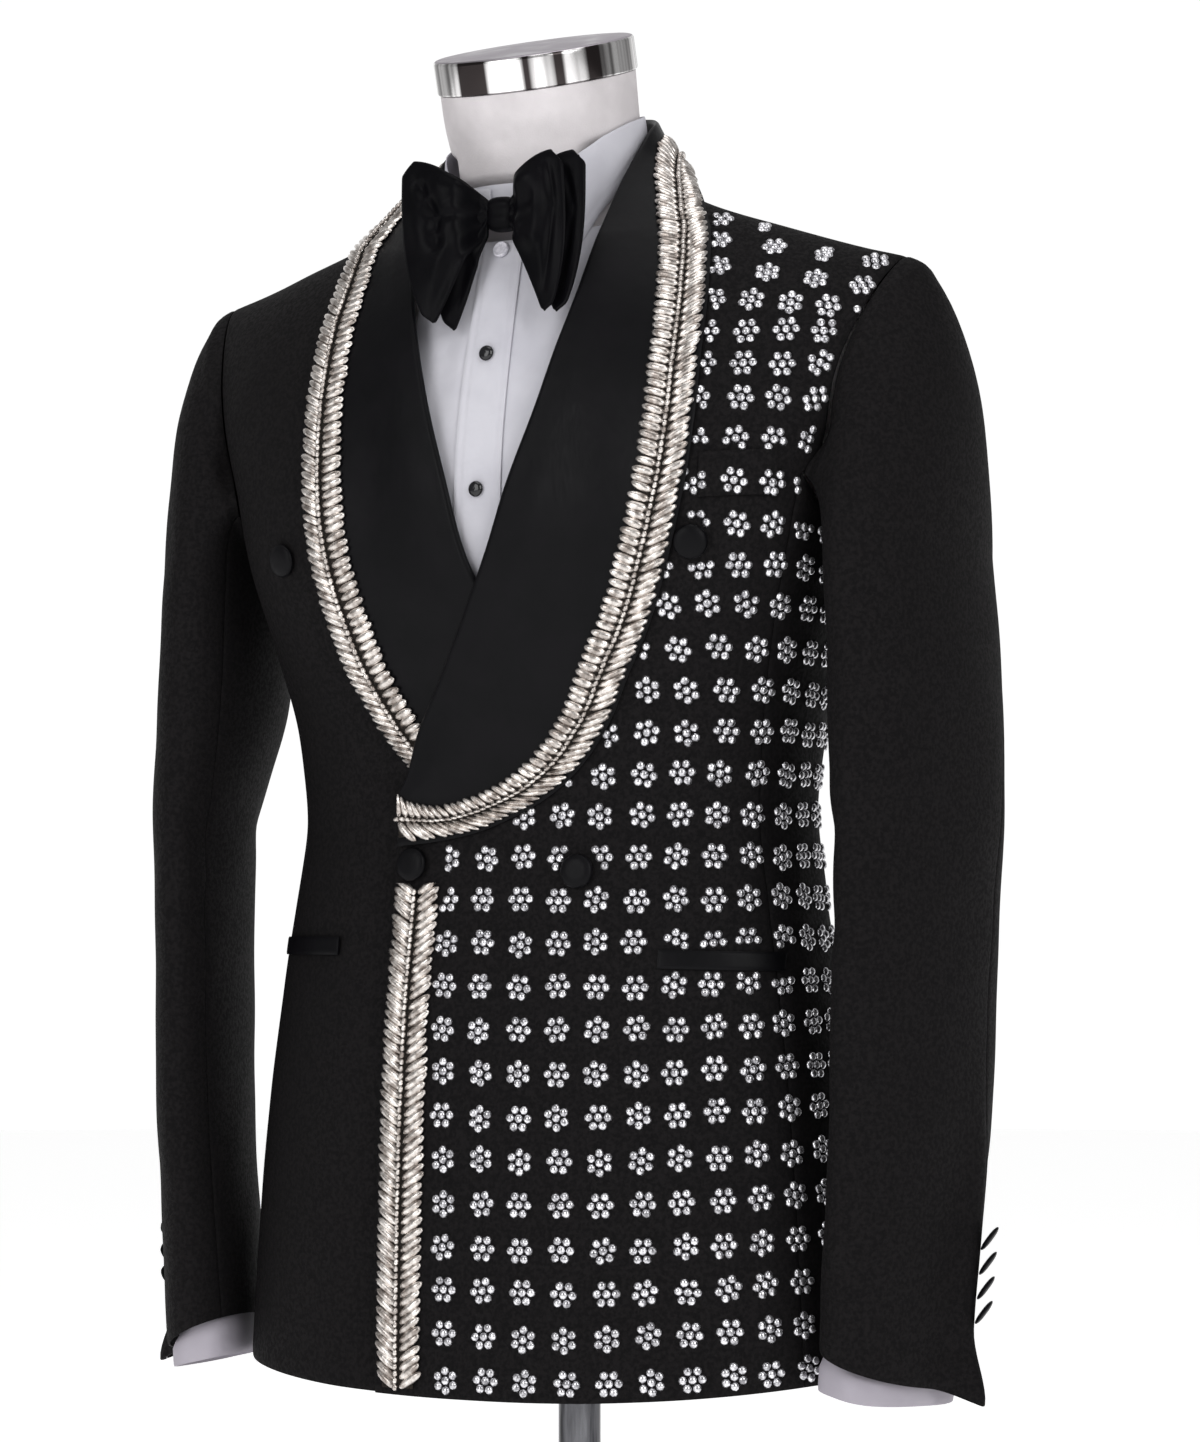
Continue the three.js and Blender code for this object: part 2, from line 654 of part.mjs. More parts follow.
const frontTrimTop = 290;
const frontTrimAt = (u, v) => {
  const up = lerp(3, frontTrimTop, v);
  const x = rollLeft(up) + 2 + u * (trimWidth - 1);
  return frontSpot(x, up, leftProud(x, up) + trimGap + trimProfile(u));
};
add('trim_front', shell(frontTrimAt, 4, 18, 1, trimProfile), beads());

// Welts: a small flat strip laid on a front, with its ends square to its length.
function welt(sign, from, to, height, proudAt) {
  return shell((u, v) => {
    const x = lerp(from.x, to.x, u);
    const up = lerp(from.up, to.up, u) + lerp(-height / 2, height / 2, v);
    return mirrored(frontSpot(x, up, proudAt(x, up) + layerGap + clothWall), sign);
  }, 8, 2, sign);
}
add('welt_chest', welt(1, { x: 136, up: 516 }, { x: 174, up: 518 }, 25, leftProud), cloth());
add('welt_hip_left', welt(1, { x: 98, up: 248 }, { x: 162, up: 247 }, 11, leftProud), satin());
add('welt_hip_right', welt(-1, { x: 110, up: 254 }, { x: 158, up: 254 }, 9.5, rightProud), satin());

// Covered buttons: a domed disc on the front's normal.
function buttonGeometry(radius, height, around = 14) {
  const profile = [
    new THREE.Vector2(0, 0),
    new THREE.Vector2(radius * 0.8, 0),
    new THREE.Vector2(radius, height * 0.35),
    new THREE.Vector2(radius * 0.86, height * 0.75),
    new THREE.Vector2(radius * 0.45, height),
    new THREE.Vector2(0, height),
  ];
  return new THREE.LatheGeometry(profile, around);
}

function place(mesh, at, normal) {
  mesh.position.copy(at);
  mesh.quaternion.setFromUnitVectors(point(0, 1, 0), normal.clone().normalize());
}

const buttonRadius = 10;
const buttonHeight = 5;
const frontButtons = [
  { name: 'button_chest_left', x: 131, up: 479, sign: 1, gap: 1, proudAt: leftProud },
  { name: 'button_chest_right', x: 131, up: 479, sign: -1, gap: 0.6, proudAt: rightProud },
  { name: 'button_waist_outer', x: 55, up: 296, sign: 1, gap: 0.8, proudAt: leftProud },
  { name: 'button_waist_edge', x: -50, up: 300.5, sign: 1, gap: 1.4, proudAt: leftProud },
];
frontButtons.forEach(({ name, x, up, sign, gap, proudAt }) => {
  const low = frontSpot(x, up, proudAt(x, up) + gap);
  const high = frontSpot(x, up, proudAt(x, up) + gap + 1);
  const mesh = add(name, buttonGeometry(buttonRadius, buttonHeight), satin());
  place(mesh, mirrored(low, sign), mirrored(high.sub(low), sign));
});

// Four buttons up each vent, set on edge like a row of fins.
const sleeveButton = { radius: 8, height: 3.2, first: 52, pitch: 13.6, stand: 3.7, lean: 0.75 };
const buttonsOnSleeve = [1, 2, 3, 4];
sides.forEach(({ name, sign }) => {
  buttonsOnSleeve.forEach((number) => {
    const up = sleeveButton.first + (number - 1) * sleeveButton.pitch;
    const skin = sleeveSection(ventAngle, up);
    const out = skin.clone().sub(sleeveSection(ventAngle, up, 6)).normalize();
    const seat = skin.clone().addScaledVector(out, sleeveButton.stand);
    const geometry = buttonGeometry(sleeveButton.radius, sleeveButton.height, 8);
    const mesh = add(`sleeve_button_${name}_${number}`, geometry, satin());
    place(mesh, mirrored(seat, sign), mirrored(out.add(point(0, 0, -sleeveButton.lean)), sign));
  });
});

// Shirt: two fronts under the jacket, a placket over their edges, studs and the neck's button.
const shirtWall = 1;
const shirtLow = 440;
const placketHalf = 15;
const shirtDepth = (up) => 9 + 6 * smoothstep(up, 518, 643);
const shirtTop = (x) => Math.min(665 + 14 * (x / 60) ** 2, 679);
const shirtWide = (v) => lerp(40, 60, smoothstep(v, 0, 0.9));
const shirtSpot = (x, up, proud = 0) => frontSpot(x, up, proud - shirtDepth(up));

sides.forEach(({ name, sign }) => {
  const front = (u, v) => {
    const x = lerp(0.4, shirtWide(v), u);
    return mirrored(shirtSpot(x, lerp(shirtLow, shirtTop(x), v)), sign);
  };
  add(`shirt_front_${name}`, shell(front, 6, 10, sign, () => shirtWall), shirting());
});
const placketAt = (u, v) => {
  const x = lerp(-placketHalf, placketHalf, u);
  return shirtSpot(x, lerp(shirtLow, 666, v), 0.6 + shirtWall);
};
add('shirt_placket', shell(placketAt, 2, 10, 1, () => shirtWall), shirting());

const studs = [
  { name: 'stud_upper', up: 595, radius: 4.5, height: 3, material: satin },
  { name: 'stud_lower', up: 514, radius: 4.5, height: 3, material: satin },
  { name: 'collar_button', up: 655, radius: 5, height: 2.4, material: shirting },
];
studs.forEach(({ name, up, radius, height, material }) => {
  const low = shirtSpot(0, up, 0.6 + shirtWall + layerGap);
  const high = shirtSpot(0, up, 1.6 + shirtWall + layerGap);
  place(add(name, buttonGeometry(radius, height, 10), material()), low, high.sub(low));
});

// The neck leans forward, so rings round it shift and tilt as they rise.
const neckRings = [
  { up: 700, y: -38, radius: 46, tilt: 0 },
  { up: 711, y: -41, radius: 47, tilt: 0 },
  { up: 724, y: -44, radius: 56.5, tilt: 3 },
  { up: 742, y: -50, radius: 57.5, tilt: 10 },
  { up: 762, y: -55, radius: 58, tilt: 18 },
];
const neckMiddle = column(neckRings, 'up', 'y');

// Shirt collar: a leaf on each side that folds down over a low stand, cut away to a point in front.
const collarLeaf = [
  { angle: 9, top: 693, low: 676, radius: 60 },
  { angle: 24, top: 698, low: 667, radius: 61 },
  { angle: 48, top: 718, low: 659, radius: 61 },
  { angle: 62, top: 727, low: 684, radius: 60 },
  { angle: 90, top: 739, low: 713, radius: 59.4 },
  { angle: 130, top: 748, low: 722, radius: 59.2 },
  { angle: 180, top: 752, low: 726, radius: 59.2 },
];
const leafTop = column(collarLeaf, 'angle', 'top');
const leafLow = column(collarLeaf, 'angle', 'low');
const leafRadius = column(collarLeaf, 'angle', 'radius');
const leafProud = 2.8;

function neckAt(angle, up, radius) {
  const turn = degToRad(angle);
  return point(radius * Math.sin(turn), neckMiddle(up) - radius * Math.cos(turn), hemHeight + up);
}

function leafAt(u, v) {
  const angle = lerp(collarLeaf[0].angle, 179.6, u);
  const high = neckAt(angle, leafTop(angle), leafRadius(angle) + 1.8 * smoothstep(angle, 80, 120));
  const round = neckAt(angle, leafLow(angle), leafRadius(angle));
  const onShirt = shirtSpot(round.x * 1.05, leafLow(angle), leafProud);
  const low = onShirt.lerp(round, smoothstep(angle, 48, 72));
  return low.lerp(high, v);
}
sides.forEach(({ name, sign }) => {
  const leaf = (u, v) => mirrored(leafAt(u, v), sign);
  add(`shirt_collar_${name}`, shell(leaf, 14, 3, sign, () => shirtWall), shirting());
});

// Cuffs, inside the sleeves and a finger's width below them.
const cuff = { x: 216.5, slant: 0.07, y: -51.7, long: 49, short: 22.5, turn: 15, rise: 34, show: 14, wall: 1.6 };
function cuffAt(turnShare, v, inset) {
  const a = -turnShare * 2 * Math.PI;
  const turn = degToRad(cuff.turn);
  const out = Math.cos(a) * (cuff.short - inset);
  const ahead = Math.sin(a) * (cuff.long - inset);
  const x = cuff.x + out * Math.cos(turn) - ahead * Math.sin(turn);
  const y = cuff.y - out * Math.sin(turn) - ahead * Math.cos(turn);
  const up = sleeveHemUp + sleeveHemSlope * (x - sleeveX(0)) + lerp(-cuff.show, cuff.rise, v);
  return point(x + cuff.slant * up, y, hemHeight + up);
}
sides.forEach(({ name, sign }) => {
  const outer = (t, v) => mirrored(cuffAt(sign * t, v, 0), sign);
  const inner = (t, v) => mirrored(cuffAt(sign * t, v, cuff.wall), sign);
  add(`shirt_cuff_${name}`, ringWall(outer, inner, 20, 2), shirting());
});

// Bow tie: a knot with two wings a side, each a soft lens of cloth that hangs to a point.
const bow = { y: -119, up: 675, knotY: -112.5, knotHalf: 10.5, knotTall: 9.5, knotDeep: 14.3 };
const wings = [
  { name: 'front', reach: 57, tip: 36, top: 37, low: -62, y: -5, hang: -4, deep: 8 },
  { name: 'back', reach: 61, tip: 46, top: 36, low: -60, y: 6, hang: -12, deep: 6 },
];

function wingAt(wing, sign, u, v, face) {
  const flare = 1 - (1 - u) ** 2;
  const outer = lerp(wing.tip, wing.reach, v) + 7 * Math.sin(Math.PI * v ** 0.8);
  const x = lerp(bow.knotHalf + 0.6, outer, u);
  const high = lerp(9, wing.top, flare);
  const low = lerp(-9, wing.low, u ** 0.85);
  const round = Math.sin(Math.PI * (0.1 + 0.8 * u)) * Math.sin(Math.PI * v) ** 0.7;
  const puff = 1.2 + wing.deep * round;
  const back = lerp(wing.hang, 10, v) * u * u + wing.y * Math.min(1, 0.35 + 2 * u);
  return point(sign * x, bow.y + back + (face * puff) / 2, hemHeight + bow.up + lerp(low, high, v));
}

sides.forEach(({ name, sign }) => {
  wings.forEach((wing) => {
    const frontFace = (u, v) => wingAt(wing, sign, u, v, -1);
    const backFace = (u, v) => wingAt(wing, sign, u, v, 1);
    add(`bow_${wing.name}_${name}`, closedWall(frontFace, backFace, 6, 7, sign), satin());
  });
});
const knotGeometry = new THREE.SphereGeometry(1, 14, 8);
const knotPositions = knotGeometry.attributes.position;
for (let i = 0; i < knotPositions.count; i += 1) {
  const square = (value, half) => half * Math.sign(value) * Math.abs(value) ** 0.6;
  knotPositions.setXYZ(
    i,
    square(knotPositions.getX(i), bow.knotHalf),
    square(-knotPositions.getZ(i), bow.knotDeep),
    square(knotPositions.getY(i), bow.knotTall),
  );
}
const knot = add('bow_knot', knotGeometry, satin());
knot.position.set(0, bow.knotY, hemHeight + bow.up);

// The collar's stand in front, and the tie's band that lies on it behind the knot.
const bandAt = (spread, low, high, radius) => (u, v) =>
  neckAt(lerp(-spread, spread, u), lerp(low, high, v), radius);
add('shirt_stand', shell(bandAt(46, 682, 695, 57.8), 8, 2, 1, () => shirtWall), shirting());
add('bow_band', shell(bandAt(6.5, 680, 692, 60.1), 2, 1, 1), satin());

// Dress form: level rings inside the jacket up to the shoulders, then leaning rings up the neck.
const formAround = 14;
const armPlate = 196;
const ridgeDrop = 2.6;
const shoulderInset = 31;

function formHalf(up) {
  const body = Math.min(bodyHalf(up) - formInset, armPlate);
  let low = 0;
  let high = 239;
  for (let pass = 0; pass < 30; pass += 1) {
    const middle = (low + high) / 2;
    if (ridgeUp(middle) - ridgeDrop > up) low = middle;
    else high = middle;
  }
  return Math.min(body, low);
}

function formRing(up) {
  const ring = [];
  const half = formHalf(up);
  const wide = Math.max(bodyHalf(up) - formInset, half);
  const rise = smoothstep(up, 500, 640);
  [true, false].forEach((inFront) => {
    for (let k = 0; k < formAround; k += 1) {
      const share = Math.sin(Math.PI * ((k + 0.5) / formAround - 0.5));
      const x = half * 0.999 * (inFront ? share : -share);
      const top = ridgeUp(Math.abs(x)) - ridgeDrop;
      const past = clamp((up - shoulderStart) / (top - shoulderStart), 0, 1);
      const round = inFront ? frontRound : backRound;
      const closing = Math.max(1 - past ** round, 0) ** (1 / round);
      const middle = lerp(bodyMiddle, ridgeY(Math.abs(x)), past);
      const inset = formInset + shoulderInset * rise;
      const reach = inFront ? bodyFront(up) + inset - bodyMiddle : bodyBack(up) - inset - bodyMiddle;
      const section = (1 - Math.abs(x / wide) ** bodySquare(up)) ** (1 / bodySquare(up));
      ring.push(point(x, middle + reach * section * closing, hemHeight + up));
    }
  });
  return ring;
}

function neckRing({ up, y, radius, tilt }) {
  const ring = [];
  const lean = degToRad(tilt);
  for (let k = 0; k < formAround * 2; k += 1) {
    const a = Math.PI * ((k + 0.5) / formAround - 1);
    const ahead = radius * Math.sin(a);
    const x = radius * Math.cos(a);
    ring.push(point(x, y + ahead * Math.cos(lean), hemHeight + up + ahead * Math.sin(lean)));
  }
  return ring;
}

const formHeights = [78, 130, 190, 250, 310, 370, 430, 478, 520, 560, 600, 625, 640, 650, 662, 675, 686, 693];
add('form_body', stack([...formHeights.map(formRing), ...neckRings.map(neckRing)]), paint(0xe6e3e6, 0.9));

const capProfile = [
  new THREE.Vector2(0, 0),
  new THREE.Vector2(capRadius, 0),
  new THREE.Vector2(capRadius, capHeight - 1.5),
  new THREE.Vector2(capRadius - 1.5, capHeight),
  new THREE.Vector2(0, capHeight + 1),
];
const cap = add('neck_cap', new THREE.LatheGeometry(capProfile, 32), paint(0xa8a8ac, 0.25, 1));
const crown = neckRings[neckRings.length - 1];
cap.rotation.x = Math.PI / 2 + neckLean;
cap.position.set(0, crown.y - 0.4 * Math.sin(neckLean), hemHeight + crown.up + 0.4 * Math.cos(neckLean));

const baseProfile = [
  new THREE.Vector2(0, 0),
  new THREE.Vector2(baseRadius, 0),
  new THREE.Vector2(baseRadius, 4),
  new THREE.Vector2(baseRadius - 4, 8),
  new THREE.Vector2(40, 16),
  new THREE.Vector2(26, 22),
  new THREE.Vector2(24, 34),
  new THREE.Vector2(0, 34),
];
const base = add('base', new THREE.LatheGeometry(baseProfile, 40), paint(0xb4b4b8, 0.2, 1));
base.rotation.x = Math.PI / 2;
const poleFoot = 34.3;
const poleTop = hemHeight + formBottomUp - 0.3;
const poleGeometry = new THREE.CylinderGeometry(poleRadius, poleRadius, poleTop - poleFoot, 20);
const pole = add('pole', poleGeometry, paint(0xc0c0c4, 0.15, 1));
pole.rotation.x = Math.PI / 2;
pole.position.z = (poleTop + poleFoot) / 2;

export default tuxedo;
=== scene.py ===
import math
import bpy
import numpy as np
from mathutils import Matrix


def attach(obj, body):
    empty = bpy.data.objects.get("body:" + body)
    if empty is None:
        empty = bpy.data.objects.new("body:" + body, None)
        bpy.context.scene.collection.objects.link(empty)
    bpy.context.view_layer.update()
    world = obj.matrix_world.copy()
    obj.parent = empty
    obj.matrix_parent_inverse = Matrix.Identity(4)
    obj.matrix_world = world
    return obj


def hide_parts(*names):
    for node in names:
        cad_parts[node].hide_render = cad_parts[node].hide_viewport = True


# A double-breasted dinner jacket with a shirt and a bow tie on a dress form. Lengths are in
# millimetres until a mesh is made. The wearer faces -Y, so their left is +X. `up` is a height
# above the jacket's hem.

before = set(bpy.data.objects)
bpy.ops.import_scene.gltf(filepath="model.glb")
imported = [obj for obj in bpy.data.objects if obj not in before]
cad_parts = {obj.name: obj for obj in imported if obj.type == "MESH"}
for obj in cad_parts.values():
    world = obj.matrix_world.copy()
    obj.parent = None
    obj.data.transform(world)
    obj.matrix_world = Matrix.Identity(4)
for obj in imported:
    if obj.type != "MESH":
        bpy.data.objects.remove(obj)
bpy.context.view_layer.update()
print("frame loaded")

hemHeight = 302.0
clothWall = 1.6
shirtWall = 1.0
bothSides = (("left", 1), ("right", -1))


def smoothstep(x, low, high):
    t = np.clip((np.asarray(x, float) - low) / (high - low), 0, 1)
    return t * t * (3 - 2 * t)


def lerp(a, b, t):
    return a + (b - a) * t


def point(x, y, z):
    return np.stack(np.broadcast_arrays(x, y, z), -1).astype(float)


def unit(v):
    return v / np.maximum(np.linalg.norm(v, axis=-1, keepdims=True), 1e-9)


def mirrored(p, sign):
    return p * np.array([sign, 1.0, 1.0])


# Smooth curves through a table's columns against its first one. Each tangent is the harmonic mean
# of the slopes on its two sides, so a curve never swings past its rows.
def curves(table):
    table = np.array(sorted(table), float)
    xs = table[:, 0]

    def curve(ys):
        slope = np.diff(ys) / np.diff(xs)
        tangent = np.concatenate([slope[:1], np.zeros(len(xs) - 2), slope[-1:]])
        product = slope[:-1] * slope[1:]
        total = slope[:-1] + slope[1:]
        tangent[1:-1] = np.where(product > 0, 2 * product / np.where(product > 0, total, 1), 0)

        def at(value):
            x = np.clip(value, xs[0], xs[-1])
            i = np.clip(np.searchsorted(xs, x, side="right") - 1, 0, len(xs) - 2)
            width = xs[i + 1] - xs[i]
            t = (x - xs[i]) / width
            rise = t * t * (3 - 2 * t)
            lead = t * (1 - t) ** 2 * width * tangent[i]
            tail = t * t * (t - 1) * width * tangent[i + 1]
            return ys[i] * (1 - rise) + ys[i + 1] * rise + lead + tail
        return at
    columns = [curve(table[:, k]) for k in range(1, table.shape[1])]
    return columns if len(columns) > 1 else columns[0]


# Soft troughs and ridges on cloth: each row runs from (a, b) to (a, b), with a width and a depth.
# A fold is depth times a bell curve of the distance to its line, and it fades towards both ends.
def softFolds(a, b, rows):
    total = np.zeros(np.broadcast(a, b).shape)
    for a0, b0, a1, b1, width, depth in rows:
        da, db = a1 - a0, b1 - b0
        t = np.clip(((a - a0) * da + (b - b0) * db) / (da * da + db * db), 0, 1)
        off = np.hypot(a - a0 - t * da, b - b0 - t * db)
        total = total + depth * np.exp(-(off / width) ** 2) * (0.25 + 0.75 * np.sin(np.pi * t))
    return total


# Slow unevenness of hanging cloth: four waves of different length and direction, in millimetres.
def unevenness(a, b, size, phase):
    waves = [(83, 0.3), (57, 1.9), (41, 2.6), (127, 1.1)]
    total = 0
    for k, (length, heading) in enumerate(waves):
        along = a * math.cos(heading) + b * math.sin(heading)
        total = total + np.sin(2 * np.pi * along / length + phase * (k + 1.3)) * length / 127
    return size * total


# Shares from 0 to 1 with a few close steps at each end, so that a cut edge can turn in.
def edgedShares(count, reach, edge=0.7):
    inner = np.linspace(0, 1, count + 1)[1:-1]
    close = np.array([0, 0.35, 1]) * edge / reach
    return np.concatenate([close, inner[(inner > close[-1]) & (inner < 1 - close[-1])], 1 - close[::-1]])


def gridFaces(n, m, turn, first=0):
    i, j = np.meshgrid(np.arange(n - 1), np.arange(m - 1), indexing="ij")
    a = (i * m + j).ravel() + first
    quads = np.stack([a, a + m, a + m + 1, a + 1], 1)
    return quads if turn > 0 else quads[:, ::-1]


# A closed wall between two grids: both faces, and the four rims.
def wallFaces(n, m, turn):
    i = np.arange(n - 1) * m
    j = np.arange(m - 1)
    layer = n * m
    far = (n - 1) * m
    rims = np.concatenate([
        np.stack([i, layer + i, layer + i + m, i + m], 1),
        np.stack([i + m - 1, i + 2 * m - 1, layer + i + 2 * m - 1, layer + i + m - 1], 1),
        np.stack([j, j + 1, layer + j + 1, layer + j], 1),
        np.stack([far + j, layer + far + j, layer + far + j + 1, far + j + 1], 1),
    ])
    faces = [gridFaces(n, m, turn), gridFaces(n, m, -turn, layer), rims if turn > 0 else rims[:, ::-1]]
    return np.concatenate(faces)


# A band of faces round closed rings of points, ring after ring.
def bandFaces(rings, around):
    k, i = np.meshgrid(np.arange(rings - 1), np.arange(around), indexing="ij")
    a = (k * around + i).ravel()
    b = (k * around + (i + 1) % around).ravel()
    return np.stack([a, b, b + around, a + around], 1)


# The faces of some alike solids of rings, each with a fan to a middle point at both ends.
def solidFaces(rings, around, count=1, flip=False):
    i = np.arange(around)
    last = (rings - 1) * around
    low = np.stack([np.full(around, rings * around), (i + 1) % around, i], 1)
    high = np.stack([np.full(around, rings * around + 1), last + i, last + (i + 1) % around], 1)
    shift = np.arange(count) * (rings * around + 2)
    quads = (bandFaces(rings, around)[None] + shift[:, None, None]).reshape(-1, 4)
    fans = (np.concatenate([low, high])[None] + shift[:, None, None]).reshape(-1, 3)
    order = slice(None, None, -1) if flip else slice(None)
    return quads[:, order].tolist() + fans[:, order].tolist()


def ringSolid(rings):
    middles = np.stack([rings[0].mean(0), rings[-1].mean(0)])
    return np.concatenate([rings.reshape(-1, 3), middles]), solidFaces(*rings.shape[:2])


def gridNormals(p, turn):
    return unit(np.cross(np.gradient(p, axis=0), np.gradient(p, axis=1))) * turn


def gridArcs(p):
    across = np.linalg.norm(np.diff(p, axis=0), axis=-1)
    along = np.linalg.norm(np.diff(p, axis=1), axis=-1)
    across = np.concatenate([np.zeros((1, p.shape[1])), np.cumsum(across, 0)])
    along = np.concatenate([np.zeros((p.shape[0], 1)), np.cumsum(along, 1)], 1)
    return across, along


def makePiece(name, points, faces, material, nodes, uv=None, sharp=50.0):
    mesh = bpy.data.meshes.new(name)
    faces = faces.tolist() if isinstance(faces, np.ndarray) else faces
    mesh.from_pydata((points.reshape(-1, 3) * 0.001).tolist(), [], faces)
    mesh.polygons.foreach_set("use_smooth", np.full(len(mesh.polygons), sharp > 0))
    if sharp > 0:
        mesh.set_sharp_from_angle(angle=math.radians(sharp))
    if uv is not None:
        corner = np.empty(len(mesh.loops), int)
        mesh.loops.foreach_get("vertex_index", corner)
        layer = mesh.uv_layers.new(name="cloth")
        layer.data.foreach_set("uv", (uv.reshape(-1, 2)[corner] * 0.001).ravel())
    mesh.materials.append(material)
    piece = bpy.data.objects.new(name, mesh)
    bpy.context.scene.collection.objects.link(piece)
    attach(piece, "root")
    if nodes:
        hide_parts(*nodes)
    return piece


# A panel of cloth with a wall behind it. Its cut edges turn in a little, and its UV map has the
# size that its own surface has when it is laid flat.
def clothPiece(name, outer, turn, look, nodes, wall=clothWall, edgeTurn=0.5):
    material, slotName = look
    normals = gridNormals(outer, turn)
    across, along = gridArcs(outer)
    nearEdge = np.minimum(np.minimum(across, across[-1] - across),
                          np.minimum(along, along[:, -1:] - along))
    shaped = outer - normals * (edgeTurn * np.exp(-(nearEdge / 0.8) ** 2))[..., None]
    thick = wall(outer) if callable(wall) else np.full(outer.shape[:2], wall)
    inner = outer - normals * thick[..., None]
    uv = np.stack([across, along], -1)
    faces = wallFaces(outer.shape[0], outer.shape[1], turn)
    points = np.concatenate([shaped.reshape(-1, 3), inner.reshape(-1, 3)])
    uvs = np.concatenate([uv.reshape(-1, 2), uv.reshape(-1, 2)])
    piece = makePiece(name, points, faces, material, nodes, uvs)
    return piece


# Materials. Colours are given as the eye sees them and turned into linear light here.
def linear(r, g, b):
    share = np.array([r, g, b]) / 255
    low = share / 12.92
    high = ((share + 0.055) / 1.055) ** 2.4
    return (*np.where(share <= 0.04045, low, high).tolist(), 1.0)


def newMaterial(name, **values):
    material = bpy.data.materials.new(name)
    material.use_nodes = True
    shader = material.node_tree.nodes["Principled BSDF"]
    for key, value in values.items():
        shader.inputs[key.replace("_", " ")].default_value = value
    return material, shader


def node(material, kind, **values):
    made = material.node_tree.nodes.new(kind)
    for key, value in values.items():
        if key in made.inputs:
            made.inputs[key].default_value = value
        else:
            setattr(made, key, value)
    return made


def wire(material, source, target):
    material.node_tree.links.new(source, target)


# Noise in the object's own coordinates, which are metres, squeezed between two values.
def noiseRange(material, scale, detail, low, high, stretch=(1, 1, 1), start=0.35, end=0.65, lean=0.0):
    where = node(material, "ShaderNodeTexCoord")
    turned = node(material, "ShaderNodeMapping", Rotation=(math.radians(lean), 0, 0))
    place = node(material, "ShaderNodeMapping", Scale=stretch)
    noise = node(material, "ShaderNodeTexNoise", Scale=scale, Detail=detail, Roughness=0.6)
    spread = node(material, "ShaderNodeMapRange")
    for key, value in (("From Min", start), ("From Max", end), ("To Min", low), ("To Max", high)):
        spread.inputs[key].default_value = value
    wire(material, where.outputs["Object"], turned.inputs["Vector"])
    wire(material, turned.outputs["Vector"], place.inputs["Vector"])
    wire(material, place.outputs["Vector"], noise.inputs["Vector"])
    wire(material, noise.outputs["Fac"], spread.inputs["Value"])
    return spread.outputs["Result"]


# Threads: two sets of fine ridges that cross, in the cloth's own flat coordinates.
def threadHeight(material, pitch, turnDegrees, mixShare=0.5):
    where = node(material, "ShaderNodeUVMap", uv_map="cloth")
    sets = []
    for turn in (turnDegrees, turnDegrees + 90):
        place = node(material, "ShaderNodeMapping", Rotation=(0, 0, math.radians(turn)))
        ridges = node(material, "ShaderNodeTexWave", Scale=1 / pitch / 3.2, Distortion=0.6, Detail=1.0)
        ridges.inputs["Detail Scale"].default_value = 2.0
        wire(material, where.outputs["UV"], place.inputs["Vector"])
        wire(material, place.outputs["Vector"], ridges.inputs["Vector"])
        sets.append(ridges.outputs["Fac"])
    mix = node(material, "ShaderNodeMix", data_type="FLOAT")
    mix.inputs[0].default_value = mixShare
    wire(material, sets[0], mix.inputs[2])
    wire(material, sets[1], mix.inputs[3])
    return mix.outputs[0]


def tint(material, shader, share, dark, light):
    mix = node(material, "ShaderNodeMix", data_type="RGBA")
    mix.inputs[6].default_value = dark
    mix.inputs[7].default_value = light
    wire(material, share, mix.inputs[0])
    wire(material, mix.outputs[2], shader.inputs["Base Color"])


def bumps(material, shader, heights):
    previous = None
    for height, strength, distance in heights:
        bump = node(material, "ShaderNodeBump", Strength=strength, Distance=distance)
        wire(material, height, bump.inputs["Height"])
        if previous:
            wire(material, previous.outputs["Normal"], bump.inputs["Normal"])
        previous = bump
    wire(material, previous.outputs["Normal"], shader.inputs["Normal"])


clothLook = {"dark": (13, 12, 13), "light": (19, 17, 18), "thread": 0.0007, "mottle": 420.0}
satinLook = {"dark": (6, 6, 8), "light": (10, 9, 12), "thread": 0.0005}
shirtLook = {"dark": (188, 187, 195), "light": (201, 200, 207), "thread": 0.0006}
# The cuffs' colours are the shirt's cotton painted darker: painted shade on the cuffs.
paintedShadeCuffLook = {"dark": (152, 147, 156), "light": (166, 161, 170), "thread": 0.0006}
formLook = {"dark": (201, 196, 198), "light": (218, 213, 215), "thread": 0.0009}
metalLook = {"dark": (150, 141, 135), "light": (240, 234, 229)}


def jacketCloth():
    material, shader = newMaterial("jacket_cloth", Roughness=0.82)
    shader.inputs["Specular IOR Level"].default_value = 0.1
    figure = noiseRange(material, clothLook["mottle"], 3.0, 0.0, 1.0, start=0.4, end=0.6)
    tint(material, shader, figure, linear(*clothLook["dark"]), linear(*clothLook["light"]))
    sheenRange = noiseRange(material, clothLook["mottle"], 3.0, 0.88, 0.7, start=0.4, end=0.6)
    wire(material, sheenRange, shader.inputs["Roughness"])
    bumps(material, shader, [(threadHeight(material, clothLook["thread"], 28), 0.35, 0.0002),
                             (figure, 0.3, 0.0003)])
    return material


def satinCloth(name="satin", thread=0.0005, roughness=0.42, sheen=0.1):
    material, shader = newMaterial(name, Roughness=roughness)
    shader.inputs["Specular IOR Level"].default_value = sheen
    cloud = noiseRange(material, 35.0, 3.0, 0.0, 1.0)
    tint(material, shader, cloud, linear(*satinLook["dark"]), linear(*satinLook["light"]))
    streaks = noiseRange(material, 900.0, 2.0, roughness - 0.04, roughness + 0.06, stretch=(1, 1, 0.08))
    wire(material, streaks, shader.inputs["Roughness"])
    bumps(material, shader, [(threadHeight(material, thread, 0, 0.25), 0.12, 0.0001),
                             (noiseRange(material, 60.0, 2.0, 0.0, 1.0), 0.05, 0.002)])
    return material


